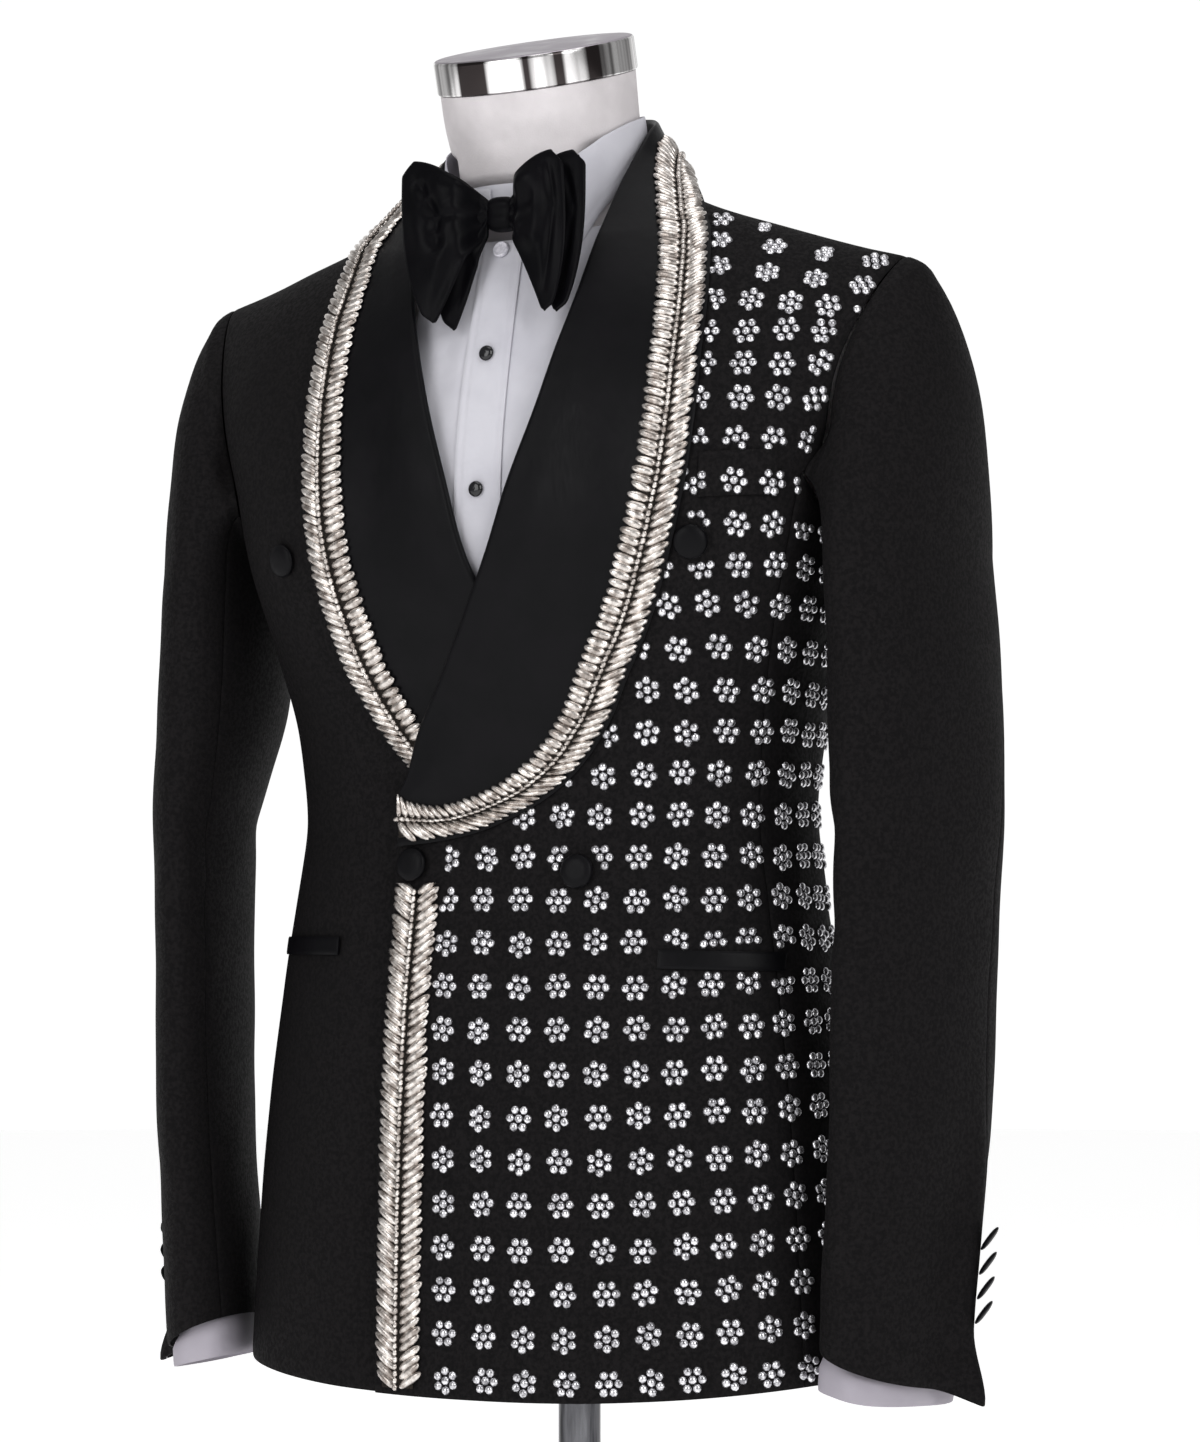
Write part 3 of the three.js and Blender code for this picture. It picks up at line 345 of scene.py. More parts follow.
def shirtCloth(name, look):
    material, shader = newMaterial(name, Roughness=0.7)
    shader.inputs["Specular IOR Level"].default_value = 0.3
    cloud = noiseRange(material, 18.0, 3.0, 0.0, 1.0)
    tint(material, shader, cloud, linear(*look["dark"]), linear(*look["light"]))
    bumps(material, shader, [(threadHeight(material, look["thread"], 0), 0.2, 0.0001),
                             (noiseRange(material, 45.0, 3.0, 0.0, 1.0), 0.1, 0.003)])
    return material


def formCloth():
    material, shader = newMaterial("form_jersey", Roughness=0.85)
    shader.inputs["Specular IOR Level"].default_value = 0.25
    cloud = noiseRange(material, 25.0, 3.0, 0.0, 1.0)
    tint(material, shader, cloud, linear(*formLook["dark"]), linear(*formLook["light"]))
    knit = noiseRange(material, 1400.0, 1.0, 0.0, 1.0, stretch=(1, 1, 0.5))
    bumps(material, shader, [(knit, 0.25, 0.0003)])
    return material


def beadMetal():
    material, shader = newMaterial("bead_metal", Metallic=0.9, Roughness=0.25)
    cloud = noiseRange(material, 160.0, 2.0, 0.0, 1.0)
    tint(material, shader, cloud, linear(*metalLook["dark"]), linear(*metalLook["light"]))
    wire(material, noiseRange(material, 300.0, 2.0, 0.2, 0.34), shader.inputs["Roughness"])
    bumps(material, shader, [(noiseRange(material, 700.0, 1.0, 0.0, 1.0), 0.08, 0.0004)])
    return material


def beadBacking():
    material, shader = newMaterial("bead_backing", Roughness=0.9)
    shader.inputs["Specular IOR Level"].default_value = 0.2
    threads = noiseRange(material, 1500.0, 2.0, 0.0, 1.0)
    tint(material, shader, threads, linear(16, 14, 13), linear(52, 46, 41))
    bumps(material, shader, [(threads, 0.6, 0.0005)])
    return material


def cutGlass():
    material, shader = newMaterial("cut_glass", Metallic=0.85, Roughness=0.12)
    tint(material, shader, noiseRange(material, 420.0, 1.0, 0.0, 1.0), linear(140, 139, 143),
         linear(240, 239, 243))
    wire(material, noiseRange(material, 300.0, 1.0, 0.08, 0.3), shader.inputs["Roughness"])
    return material


# Metal tinted between a dark and a light colour by stretched noise. On the cap band this tint is painted
# reflection: long dark and light streaks round it.
def polishedSteel(name, light, dark, roughness, stretch, scale=220.0, lean=0.0, soft=0.15):
    material, shader = newMaterial(name, Metallic=1.0, Roughness=roughness)
    grainAndPaintedStreaks = noiseRange(material, scale, 3.0, 0.0, 1.0, stretch, 0.5 - soft, 0.5 + soft, lean)
    tint(material, shader, grainAndPaintedStreaks, linear(*dark), linear(*light))
    dulled = noiseRange(material, scale, 2.0, roughness * 0.7, roughness * 1.3, stretch=stretch, lean=lean)
    wire(material, dulled, shader.inputs["Roughness"])
    bumps(material, shader, [(grainAndPaintedStreaks, 0.06, 0.0003)])
    return material


def gloss(name, dark, light, roughness):
    material, shader = newMaterial(name, Roughness=roughness)
    tint(material, shader, noiseRange(material, 400.0, 2.0, 0.0, 1.0), linear(*dark), linear(*light))
    wire(material, noiseRange(material, 500.0, 2.0, roughness * 0.8, roughness * 1.4),
         shader.inputs["Roughness"])
    return material


wool = (jacketCloth(), "jacket_cloth")
satin = (satinCloth(), "satin")
bowSatin = (satinCloth("bow_satin", 0.0004, 0.36, 0.05), "satin")
cotton = (shirtCloth("shirt_cloth", shirtLook), "shirt_cloth")
# A darker copy of the shirt's cotton for the cuffs: painted shade.
paintedShadeCuffCotton = (shirtCloth("cuff_cloth_painted_shade", paintedShadeCuffLook), "shirt_cloth")
jersey = (formCloth(), "form_jersey")
beads = beadMetal()
backing = beadBacking()
glass = cutGlass()
# The cap band's near-black and near-white streaks are painted reflections of the studio.
bandSteel = polishedSteel("cap_band", (250, 248, 248), (58, 53, 53), 0.2, (1, 1, 0.01), 38.0, -18, 0.05)
topSteel = polishedSteel("cap_top", (166, 160, 167), (146, 140, 147), 0.42, (1, 1, 1), 40.0)
chrome = polishedSteel("chrome", (120, 120, 124), (40, 40, 43), 0.14, (1, 1, 0.1), 120.0)
baseSteel = polishedSteel("base_steel", (200, 200, 204), (150, 150, 154), 0.24, (1, 1, 1))
blackStone = gloss("stud_black", (8, 8, 10), (18, 18, 22), 0.12)
pearl = gloss("pearl", (196, 194, 204), (230, 228, 236), 0.25)
print("materials made")

# The buttoned jacket's plan sections: up, half width, front and back depth, how square.
bodyHalf, bodyFront, bodyBack, bodySquare = curves([
    (0, 193.5, -135.5, 79, 2.3), (38, 192, -134, 78, 2.3), (108, 187, -130, 73, 2.35),
    (168, 181.5, -125, 67, 2.4), (228, 173.5, -119, 61, 2.45), (278, 165.5, -113, 57, 2.5),
    (328, 159, -109, 57, 2.5), (378, 162.5, -114, 62, 2.6), (428, 172, -126, 68, 2.9),
    (478, 185, -136, 73, 3.2), (518, 194, -138, 75, 3.3), (598, 220, -138, 76, 3.3),
    (698, 236, -138, 78, 3.3), (778, 240, -138, 78, 3.3),
])
# The shoulder ridge: x, up, y. The armhole seam: up, x in front, x behind.
ridgeUp, ridgeY = curves([
    (-30, 736, -40), (0, 753, -40), (30, 736, -40), (62, 707, -38), (104, 684, -34),
    (150, 668, -30), (200, 652, -28), (222, 646, -28), (240, 640, -28),
])
armholeFront, armholeBack = curves([
    (518, 187.5, 180), (543, 194.5, 186), (573, 200, 193), (600, 207, 201),
    (623, 214, 211), (640, 220, 219), (646, 222, 222),
])
# Roll line: up, x on the left front, x on the right one.
rollLeft, rollRight = curves([
    (0, -62, -56), (60, -63, -57), (200, -65, -58), (290, -63, -58), (336, -60, -57),
    (354, -52, -52), (378, -43, -44), (409, -25, -27), (444, -6, -9), (478, 11, 6),
    (518, 26, 17), (558, 40, 29), (590, 48, 38), (625, 56, 48), (658, 60, 58), (706, 66, 66),
])
bodyMiddle = -28.0
shoulderStart = 478.0
frontRound, backRound = 1.8, 2.2
frontSeamAngle, backSeamAngle = 66.0, 118.0
panelTop = 518.0
neckSide = 64.0
trimWidth, trimThick, trimGap = 30.0, 2.4, 0.8
collarWall, foldWall, collarGap = 1.5, 1.2, 1.4


# The jacket's outside. angle is 0 at the centre front, 90 at the left side, 180 behind.
# x and y are a superellipse that closes on the shoulder ridge above the chest.
def bodyAt(angle, up, inset=0.0):
    angle, up = np.broadcast_arrays(np.asarray(angle, float), np.asarray(up, float))
    turn = np.radians(angle)
    power = 2 / bodySquare(up)
    x = np.sign(angle) * (bodyHalf(up) - inset) * np.abs(np.sin(turn)) ** power
    inFront = np.abs(angle) < 90
    top = ridgeUp(np.abs(x)) - inset
    past = np.clip((up - shoulderStart) / (top - shoulderStart), 0, 1)
    rounding = np.where(inFront, frontRound, backRound)
    closing = (1 - past ** rounding) ** (1 / rounding)
    middle = lerp(bodyMiddle, ridgeY(np.abs(x)), past)
    depth = np.where(inFront, bodyFront(up) + inset, bodyBack(up) - inset) - bodyMiddle
    return point(x, middle + depth * np.abs(np.cos(turn)) ** power * closing, hemHeight + up)


def angleOf(x, up, behind=False):
    share = np.clip(np.abs(x) / bodyHalf(up), 0, 1)
    angle = np.degrees(np.arcsin(share ** (bodySquare(up) / 2)))
    return np.where(np.asarray(x) < 0, -1, 1) * (180 - angle if behind else angle)


# A spot on the front, moved out along the cloth's own normal.
def frontSpot(x, up, proud=0.0):
    x, up, proud = np.broadcast_arrays(np.asarray(x, float), np.asarray(up, float), proud)
    step = 0.5
    across = bodyAt(angleOf(x + step, up), up) - bodyAt(angleOf(x - step, up), up)
    along = bodyAt(angleOf(x, up + step), up + step) - bodyAt(angleOf(x, up - step), up - step)
    return bodyAt(angleOf(x, up), up) + unit(np.cross(across, along)) * proud[..., None]


# The body's cut in millimetres. seamGap alone is in degrees round the body: it is half of a seam.
body = {"lapOut": 3.2, "lapIn": 2.8, "hemRise": 6, "rollClear": 4.4, "sideDip": 25, "seamGap": 0.12,
        "ridgeGap": 0.25, "middleGap": 0.225, "backNeck": 713, "backNeckDip": 7}


# The fronts lap: the left one stands out over the right one and its trim.
def lapShare(x, up):
    return (1 - smoothstep(x, 62, 100)) * (1 - smoothstep(up, 500, 620))


def leftProud(x, up):
    near = 1 - smoothstep(x - rollLeft(up), 50, 95)
    overTrim = smoothstep(up, 300, 350) * (1 - smoothstep(up, 392, 448))
    return body["lapOut"] * lapShare(x, up) + trimThick * near * overTrim


def rightProud(x, up):
    return -body["lapIn"] * lapShare(x, up)


def hemRise(angle):
    return body["hemRise"] * (1 - np.cos(np.radians(np.minimum(np.abs(angle), 90) * 2)))


# Two thirds of the rows lie below the armhole, and the rest close in on the shoulder.
def panelUp(v, hem, top):
    share = v * 3
    left = 1 - (share - 2)
    return np.where(share <= 2, lerp(hem, panelTop, share / 2), top - (top - panelTop) * left * left)


# The angles of a front's two long edges.
def frontEdges(roll, up):
    inner = angleOf(roll(up) + body["rollClear"] * smoothstep(up, 336, 380), up)
    seam = np.where(up > panelTop, angleOf(armholeFront(up), up), frontSeamAngle)
    return inner, seam - body["seamGap"]


# Angle and height depend on each other, so both are found in a few rounds.
def frontAt(u, v, roll, proudAt):
    up = panelUp(v, 0, 690)
    for _ in range(6):
        angle = lerp(*frontEdges(roll, up), u)
        x = np.abs(bodyAt(angle, up)[..., 0])
        up = panelUp(v, hemRise(angle), ridgeUp(np.maximum(x, neckSide)))
    x = bodyAt(angle, up)[..., 0]
    ridge = body["ridgeGap"] * smoothstep(v, 0.9, 1)
    return frontSpot(x, up, proudAt(x, up)) - point(0, ridge, 0)


def sideTop(u):
    return panelTop - body["sideDip"] * np.sin(np.pi * u)


def sideAt(u, v):
    angle = lerp(frontSeamAngle + body["seamGap"], backSeamAngle - body["seamGap"], u)
    return bodyAt(angle, lerp(hemRise(angle), sideTop(u), v))


def backAt(u, v):
    up = panelUp(v, 0, 700)
    for _ in range(6):
        seam = np.where(up > panelTop, angleOf(armholeBack(up), up, True), backSeamAngle)
        angle = lerp(angleOf(body["middleGap"], up, True), seam + body["seamGap"], u)
        x = np.abs(bodyAt(angle, up)[..., 0])
        neckline = body["backNeck"] - body["backNeckDip"] * (x / neckSide) ** 2
        top = np.where(x < neckSide, neckline, ridgeUp(x))
        up = panelUp(v, hemRise(angle), top)
    return bodyAt(angle, up) + point(0, body["ridgeGap"] * smoothstep(v, 0.9, 1), 0)


def shareGrid(u, v):
    return np.meshgrid(u, v, indexing="ij")


# Jacket body. The folds are in x and up on a front or a back, and in y and up on a side.
bodyFolds = {
    "front_left": [(20, 300, 118, 345, 15, -1.2), (66, 290, 150, 255, 13, -0.9),
                   (40, 286, 96, 196, 16, -0.8), (118, 560, 176, 500, 16, -0.9),
                   (150, 610, 186, 540, 12, 0.8), (120, 120, 168, 20, 22, 0.9),
                   (60, 160, 88, 10, 24, -0.7), (150, 420, 176, 352, 13, -1.0)],
    "front_right": [(58, 300, 128, 338, 14, -1.2), (64, 282, 148, 236, 13, -1.0),
                    (116, 566, 176, 498, 15, -1.1), (150, 430, 170, 350, 12, -1.2),
                    (110, 130, 152, 14, 22, 1.0), (70, 150, 84, 6, 20, -0.7),
                    (156, 610, 190, 552, 11, 0.8)],
    "side": [(-100, 322, 20, 340, 14, -1.4), (-90, 378, 10, 352, 12, -1.0), (-70, 290, 40, 268, 16, -1.0),
             (-60, 470, -20, 380, 16, 1.0), (-40, 160, -30, 10, 26, 1.2)],
    "back": [(10, 330, 120, 345, 15, -1.5), (20, 300, 140, 280, 14, -1.1), (60, 372, 150, 402, 13, -1.0),
             (60, 560, 150, 500, 20, -1.2), (120, 600, 176, 520, 15, 1.1), (40, 200, 60, 20, 26, 1.1),
             (110, 180, 140, 20, 24, -0.9), (6, 690, 96, 664, 12, -0.8)],
}


def foldedBody(outer, turn, a, folds, phase):
    up = outer[..., 2] - hemHeight
    across, along = gridArcs(outer)
    nearEdge = np.minimum(np.minimum(across, across[-1:] - across),
                          np.minimum(along, along[:, -1:] - along))
    away = np.minimum(1, nearEdge / 14)
    shape = softFolds(a, up, folds) + unevenness(a, up, 0.22, phase)
    return outer + gridNormals(outer, turn) * (shape * away)[..., None]


# Folds fade within 14 mm of an edge. The grids are kept for the flowers, which lie on them.
bodyGrids = {}
frontU, frontV = edgedShares(64, 190), edgedShares(150, 690)
u, v = shareGrid(frontU, frontV)
for side, sign, roll, proudAt in (("left", 1, rollLeft, leftProud), ("right", -1, rollRight, rightProud)):
    flat = frontAt(u, v, roll, proudAt)
    outer = foldedBody(flat, 1, flat[..., 0], bodyFolds["front_" + side], 1.7 + sign)
    bodyGrids["front-" + side] = outer
    clothPiece("front-" + side, mirrored(outer, sign), sign, wool, ["front_" + side])
for side, sign in bothSides:
    sideU, sideV = edgedShares(28, 150), edgedShares(110, 510)
    u, v = shareGrid(sideU, sideV)
    flat = sideAt(u, v)
    outer = foldedBody(flat, 1, flat[..., 1], bodyFolds["side"], 0.4 + sign)
    bodyGrids["side-" + side] = outer
    clothPiece("side-" + side, mirrored(outer, sign), sign, wool, ["side_" + side])
    u, v = shareGrid(edgedShares(48, 190), edgedShares(140, 700))
    flat = backAt(u, v)
    outer = foldedBody(flat, -1, flat[..., 0] + (6 if sign > 0 else 0), bodyFolds["back"], 2.9 + sign)
    clothPiece("back-" + side, mirrored(outer, sign), -sign, wool, ["back_" + side])
print("jacket body made")


# The armhole as one closed centripetal spline, measured along its length from 0 to 1.
def armholeSpline():
    shares = np.linspace(0, 1, 13)
    one = np.ones_like(shares)
    down = frontAt(one, 1 - shares / 3, rollLeft, lambda x, up: 0.0 * x)
    across = sideAt(shares[1:-1], one[1:-1])
    rise = backAt(one, 1 - (1 - shares) / 3)
    loop = np.concatenate([down, across, rise])

    def at(t):
        whole = (np.asarray(t, float) % 1) * len(loop)
        i = np.floor(whole).astype(int)
        w = (whole - i)[..., None]
        p0, p1, p2, p3 = (loop[(i + k) % len(loop)] for k in (-1, 0, 1, 2))
        d0, d1, d2 = (np.sqrt(np.linalg.norm(q - p, axis=-1, keepdims=True)) for p, q in
                      ((p0, p1), (p1, p2), (p2, p3)))
        t1 = ((p1 - p0) / d0 - (p2 - p0) / (d0 + d1) + (p2 - p1) / d1) * d1
        t2 = ((p2 - p1) / d1 - (p3 - p1) / (d1 + d2) + (p3 - p2) / d2) * d1
        return (p1 + t1 * w + (-3 * p1 + 3 * p2 - 2 * t1 - t2) * w ** 2
                + (2 * p1 - 2 * p2 + t1 + t2) * w ** 3)
    ts = np.linspace(0, 1, 1201)
    steps = np.linalg.norm(np.diff(at(np.minimum(ts, 1 - 1e-9)), axis=0), axis=1)
    length = np.concatenate([[0], np.cumsum(steps)])
    return lambda share: at(np.interp(share * length[-1], length, ts))


armholePoint = armholeSpline()
# The sleeve below its head: up, middle x and y, long and short half axis, turn.
sleeveX, sleeveY, sleeveLong, sleeveShort, sleeveTurn = curves([
    (478, 223, -23, 80, 32, 5), (408, 228, -30.5, 77, 32, 10), (320, 234, -42, 71, 26, 16),
    (240, 233, -45, 69, 24, 16), (150, 230, -47, 66, 24.5, 16), (60, 222, -51, 58, 26, 15),
    (0, 218, -52, 54, 26.5, 15),
])
ventAngle = -32.0
hindAngle = 130.0
sleeveTop = 478.0
# A sleeve's cut: the head's share of its length, how far the vent stands out and how wide it is
# in degrees, the hem's height at hemX and its slope, half a seam in degrees, the rope at the top.
sleeve = {"head": 0.3, "ventOut": 11, "hemOut": 12, "ventWide": 15, "hem": 22, "slope": 0.43, "hemX": 218,
          "seamGap": 0.25, "rope": 1.3}


# A sleeve section: an ellipse turned in at the front, with the vent's flare behind.
def sleeveSection(angle, up, inset=0.0):
    turn = np.radians(sleeveTurn(up))
    a = np.radians(angle)
    off = ((angle - ventAngle + 540) % 360) - 180
    reach = sleeve["ventOut"] * (1 - smoothstep(up, 60, 210))
    reach = reach + sleeve["hemOut"] * (1 - smoothstep(up, 0, 42))
    out = np.cos(a) * (sleeveShort(up) - inset) + reach * np.exp(-((off / sleeve["ventWide"]) ** 2))
    ahead = np.sin(a) * (sleeveLong(up) - inset)
    x = sleeveX(up) + out * np.cos(turn) - ahead * np.sin(turn)
    y = sleeveY(up) - out * np.sin(turn) - ahead * np.cos(turn)
    return point(x, y, hemHeight + up)


def sleeveAt(angle, v):
    cosine = np.cos(np.radians(angle))
    start = armholePoint((angle % 360) / 360)
    start[..., 0] += 0.9 + 2.2 * np.maximum(0, -cosine) ** 2
    end = sleeveSection(angle, sleeveTop)
    bend = point(lerp(start[..., 0], end[..., 0], lerp(0.85, 1.25, np.maximum(0, cosine))),
                 lerp(start[..., 1], end[..., 1], 0.6), lerp(start[..., 2], end[..., 2], 0.1))
    t = np.clip(v / sleeve["head"], 0, 1)[..., None]
    head = lerp(lerp(start, bend, t), lerp(bend, end, t), t)
    hem = sleeve["hem"] - sleeve["slope"] * (sleeveSection(angle, 0.0)[..., 0] - sleeve["hemX"])
    down = np.clip((v - sleeve["head"]) / (1 - sleeve["head"]), 0, 1)
    lower = sleeveSection(angle, lerp(sleeveTop, hem, down))
    return np.where((v <= sleeve["head"])[..., None], head, lower)


def hindSeam(v):
    return lerp(-72, ventAngle - 4, smoothstep(v, 0, 0.85))


# Sleeve folds: round angle (about 1 mm a degree) and up.
sleeveFolds = {
    "left": [(100, 566, 106, 420, 24, 6.5), (60, 452, 120, 420, 18, -1.6), (100, 330, 150, 292, 13, -2.0),
             (60, 352, 128, 330, 13, 1.4), (80, 268, 150, 262, 13, -1.3), (20, 380, 70, 300, 22, 1.2),
             (-50, 300, 10, 250, 20, -1.2), (30, 120, 100, 60, 18, -1.0), (-20, 200, 30, 110, 22, 1.0),
             (200, 470, 250, 380, 20, -1.8), (190, 330, 260, 300, 16, -2.0), (40, 560, 70, 480, 15, -1.2),
             (120, 540, 150, 470, 14, -1.4)],
    "right": [(100, 566, 106, 430, 24, 5), (60, 440, 120, 404, 17, -1.8), (96, 338, 152, 300, 14, -2.4),
              (50, 360, 128, 344, 13, 1.6), (80, 282, 150, 270, 14, -1.7), (20, 372, 66, 310, 20, 1.1),
              (-50, 290, 10, 262, 18, -1.4), (34, 130, 110, 70, 18, -1.1), (-20, 190, 30, 120, 20, 1.2),
              (200, 460, 250, 390, 20, -1.6), (190, 340, 260, 306, 15, -2.1),
              (44, 556, 74, 470, 15, -1.3), (124, 530, 156, 468, 14, -1.5)],
}


def sleevePanel(name, side, sign, startAngle, endAngle):
    u, v = shareGrid(edgedShares(56, 200), edgedShares(150, 640))
    angle = lerp(startAngle(v) + sleeve["seamGap"], endAngle(v) - sleeve["seamGap"], u)
    flat = sleeveAt(angle, v)
    up = flat[..., 2] - hemHeight
    around = ((angle + 90) % 360) - 90
    outside = smoothstep(np.cos(np.radians(angle)), -0.2, 0.5)
    rope = sleeve["rope"] * np.exp(-((v - 0.035) / 0.02) ** 2) * outside
    away = smoothstep(v, 0.02, 0.1) * smoothstep(1 - v, 0.0, 0.06)
    folds = softFolds(around, up, sleeveFolds[side]) + unevenness(around, up, 0.3, 0.9 + sign)
    outer = flat + gridNormals(flat, 1) * (folds * away + rope)[..., None]
    clothPiece(f"sleeve-{name}-{side}", mirrored(outer, sign), sign, wool, [f"sleeve_{name}_{side}"])


for side, sign in bothSides:
    sleevePanel("top", side, sign, hindSeam, lambda v: hindAngle)
    sleevePanel("under", side, sign, lambda v: hindAngle, lambda v: hindSeam(v) + 360)
print("sleeves made")

# Middle line of the beaded trim, from the collar's low end to the shoulder: step, x, up.
trimLeft = [(0, -62, 326), (1, -39, 328), (2, -12, 333), (3, 9, 341), (4, 28, 351), (5, 46, 366),
            (6, 61, 386), (7, 75, 413), (8, 89, 438), (9, 101, 466), (10, 110, 495), (11, 116, 528),
            (12, 118, 562), (13, 117, 597), (14, 113, 630), (15, 105, 660)]
trimRight = [(0, 26, 345), (1, 45, 367), (2, 57, 380), (3, 69, 399), (4, 78, 418), (5, 85, 440),
             (6, 91, 465), (7, 96, 492), (8, 99, 520), (9, 101, 550), (10, 102, 580), (11, 102, 607),
             (12, 100, 634), (13, 97, 660)]
# Where each step meets the roll line, as a height on it.
rollOfLeft = [(0, 341), (2, 350), (4, 366), (6, 394), (8, 440), (10, 497), (12, 560), (14, 628),
              (15, 660)]
rollOfRight = [(0, 352), (2, 386), (4, 424), (6, 470), (8, 522), (10, 580), (12, 634), (13, 660)]
# Round the neck: step, fold x y up, edge x y up, depth of the turned stand.
foldX, foldY, foldUp, edgeX, edgeY, edgeUp, standDepth = curves([
    (0, 60, -96, 660, 118, -70, 664, 4), (1, 62, -74, 690, 108, -55, 680, 9),
    (2, 64, -53, 715, 95, -38, 694.5, 12), (3, 62.5, -32, 732, 81, -18, 703, 19),
    (4, 51, -6, 742, 66, 2, 703, 25), (5, 30, 12, 747, 39, 24, 700, 30),
    (6, 0, 20, 749, 0, 35, 702, 32),
])
# Across the collar: step, share from fold to edge, how far the stand is turned down, lift.
profileT, profileDrop, profileLift = curves([
    (0, 0.0, 1, -2.9), (1, 0.0, 0.02, -2.7), (2, 0.0, -0.05, -1.2), (3, 0.03, 0, 0.5),
    (4, 0.2, 0, 0.5), (5, 0.46, 0, 0.2), (6, 0.74, 0, 0), (7, 1.0, 0, 0),
])


def collarMaker(trim, rollTable, roll, proudAt):
    trimX, trimUp = curves(trim)
    rollUp = curves(rollTable)
    last = len(trim) - 1

    def frontPoint(at, t, lift):
        step = 0.05
        dx = trimX(at + step) - trimX(at - step)
        dup = trimUp(at + step) - trimUp(at - step)
        half = trimWidth / 2 / np.hypot(dx, dup)
        x = lerp(roll(rollUp(at)), trimX(at) + dup * half, t)
        up = lerp(rollUp(at), trimUp(at) - dx * half, t)
        return frontSpot(x, up, proudAt(x, up) + collarGap + collarWall + lift)

    def neckPoint(at, t, lift):
        def ends(k):
            fold = point(foldX(k), foldY(k), hemHeight + foldUp(k))
            return fold, point(edgeX(k), edgeY(k), hemHeight + edgeUp(k))
        fold, edge = ends(at)
        ahead = sum(ends(at + 0.05)) - sum(ends(at - 0.05))
        normal = unit(np.cross(edge - fold, ahead))
        return fold + (edge - fold) * t[..., None] + normal * (lift + collarWall + 1)[..., None]

    def collar(s, t, lift=0.0):
        s, t, lift = (np.asarray(given, float) for given in np.broadcast_arrays(s, t, lift))
        at = s * (last + 6)
        share = smoothstep(at, last - 1.6, last + 0.6)[..., None]
        inFront = frontPoint(np.minimum(at, last), t, lift)
        return lerp(inFront, neckPoint(np.maximum(0, at - last), t, lift), share)
    return collar, lambda s: np.maximum(0, s * (last + 6) - last)


def collarWallAt(collar, onNeckOf, s, v):
    k = v * 7
    drop = profileDrop(k)[..., None]
    lift = profileLift(k)
    under = unit(collar(s, 0.06, lift) - collar(s, 0.0, lift)) * 1.6
    down = point(0, 0, -standDepth(onNeckOf(s)))
    share = smoothstep(onNeckOf(s), 0, 1.5)[..., None]
    return collar(s, np.maximum(profileT(k), 0), lift) + lerp(under, down, share) * drop


# Folds across the collar and along it, both in mm.
collarFolds = [(58, 20, 62, 240, 12, 0.9), (86, 60, 82, 300, 15, -0.6), (66, 250, 60, 420, 14, 0.7)]
collars = {
    "left": (*collarMaker(trimLeft, rollOfLeft, rollLeft, leftProud), 1),
    "right": (*collarMaker(trimRight, rollOfRight, rollRight, rightProud), -1),
}
collarLong, collarWide, collarEnd = 640, 110, 0.9975
for side, (collar, onNeckOf, sign) in collars.items():
    s, v = shareGrid(edgedShares(200, collarLong) * collarEnd, edgedShares(46, 120))
    flat = collarWallAt(collar, onNeckOf, s, v)
    along = s * collarLong
    ripple = unevenness(along, v * collarWide, 0.18, 1.1 + sign) * smoothstep(v, 0.45, 0.6)
    roll = softFolds(v * collarWide, along, collarFolds)
    outer = flat + gridNormals(flat, -1) * (ripple + roll * smoothstep(v, 0.42, 0.6))[..., None]
    wall = lerp(foldWall, collarWall, smoothstep(v, 0.28, 0.45))
    clothPiece("collar-" + side, mirrored(outer, sign), -sign, satin, ["collar_" + side],
               wall=lambda p, wall=wall: wall)
print("collar made")


# Beaded trim is laid out flat: arc along its spine, distance across it and height, all in mm.
def stripOn(surface, samples):
    line = surface(samples, np.full_like(samples, 0.5), np.zeros_like(samples))
    arc = np.concatenate([[0], np.cumsum(np.linalg.norm(np.diff(line, axis=0), axis=1))])
    return arc[-1], lambda a, c, h: surface(np.interp(a, arc, samples), c / trimWidth + 0.5, h)


def collarStrip(collar, sign):
    def surface(s, share, height):
        reach = trimWidth / np.linalg.norm(collar(s, 0.0) - collar(s, 1.0), axis=-1)
        return mirrored(collar(s, lerp(1 - reach, 1, share), trimGap + height), sign)
    return surface


def frontStrip(up, share, height):
    x = rollLeft(up) + 2 + share * (trimWidth - 1)
    return frontSpot(x, up, leftProud(x, up) + trimGap + height)


# One sewn grain: an oval of rings with round ends, flat below and domed above.
def grainShape(rings=8, around=8):
    t = 0.5 - 0.485 * np.cos(np.linspace(0, np.pi, rings))
    width = (1 - np.abs(2 * t - 1) ** 3) ** 0.6
    turn = np.linspace(0, 2 * np.pi, around, endpoint=False) + np.pi / 2
    return t, width, np.cos(turn), np.sin(turn)


trimLook = {"width": 5.0, "thick": 2.3, "base": 0.4, "crown": 0.35, "fromSpine": 1.2, "spineLong": 3.9,
            "spineWide": 3.0, "spineUp": 3.2, "backing": 10.5}
# Each strip: pitch, length of a grain, lean of the inner and the outer row in degrees.
stripLook = {"left": (5.05, 14.6, 19, 32), "right": (5.05, 14.6, 19, 30), "front": (5.1, 17.2, 33, 33)}


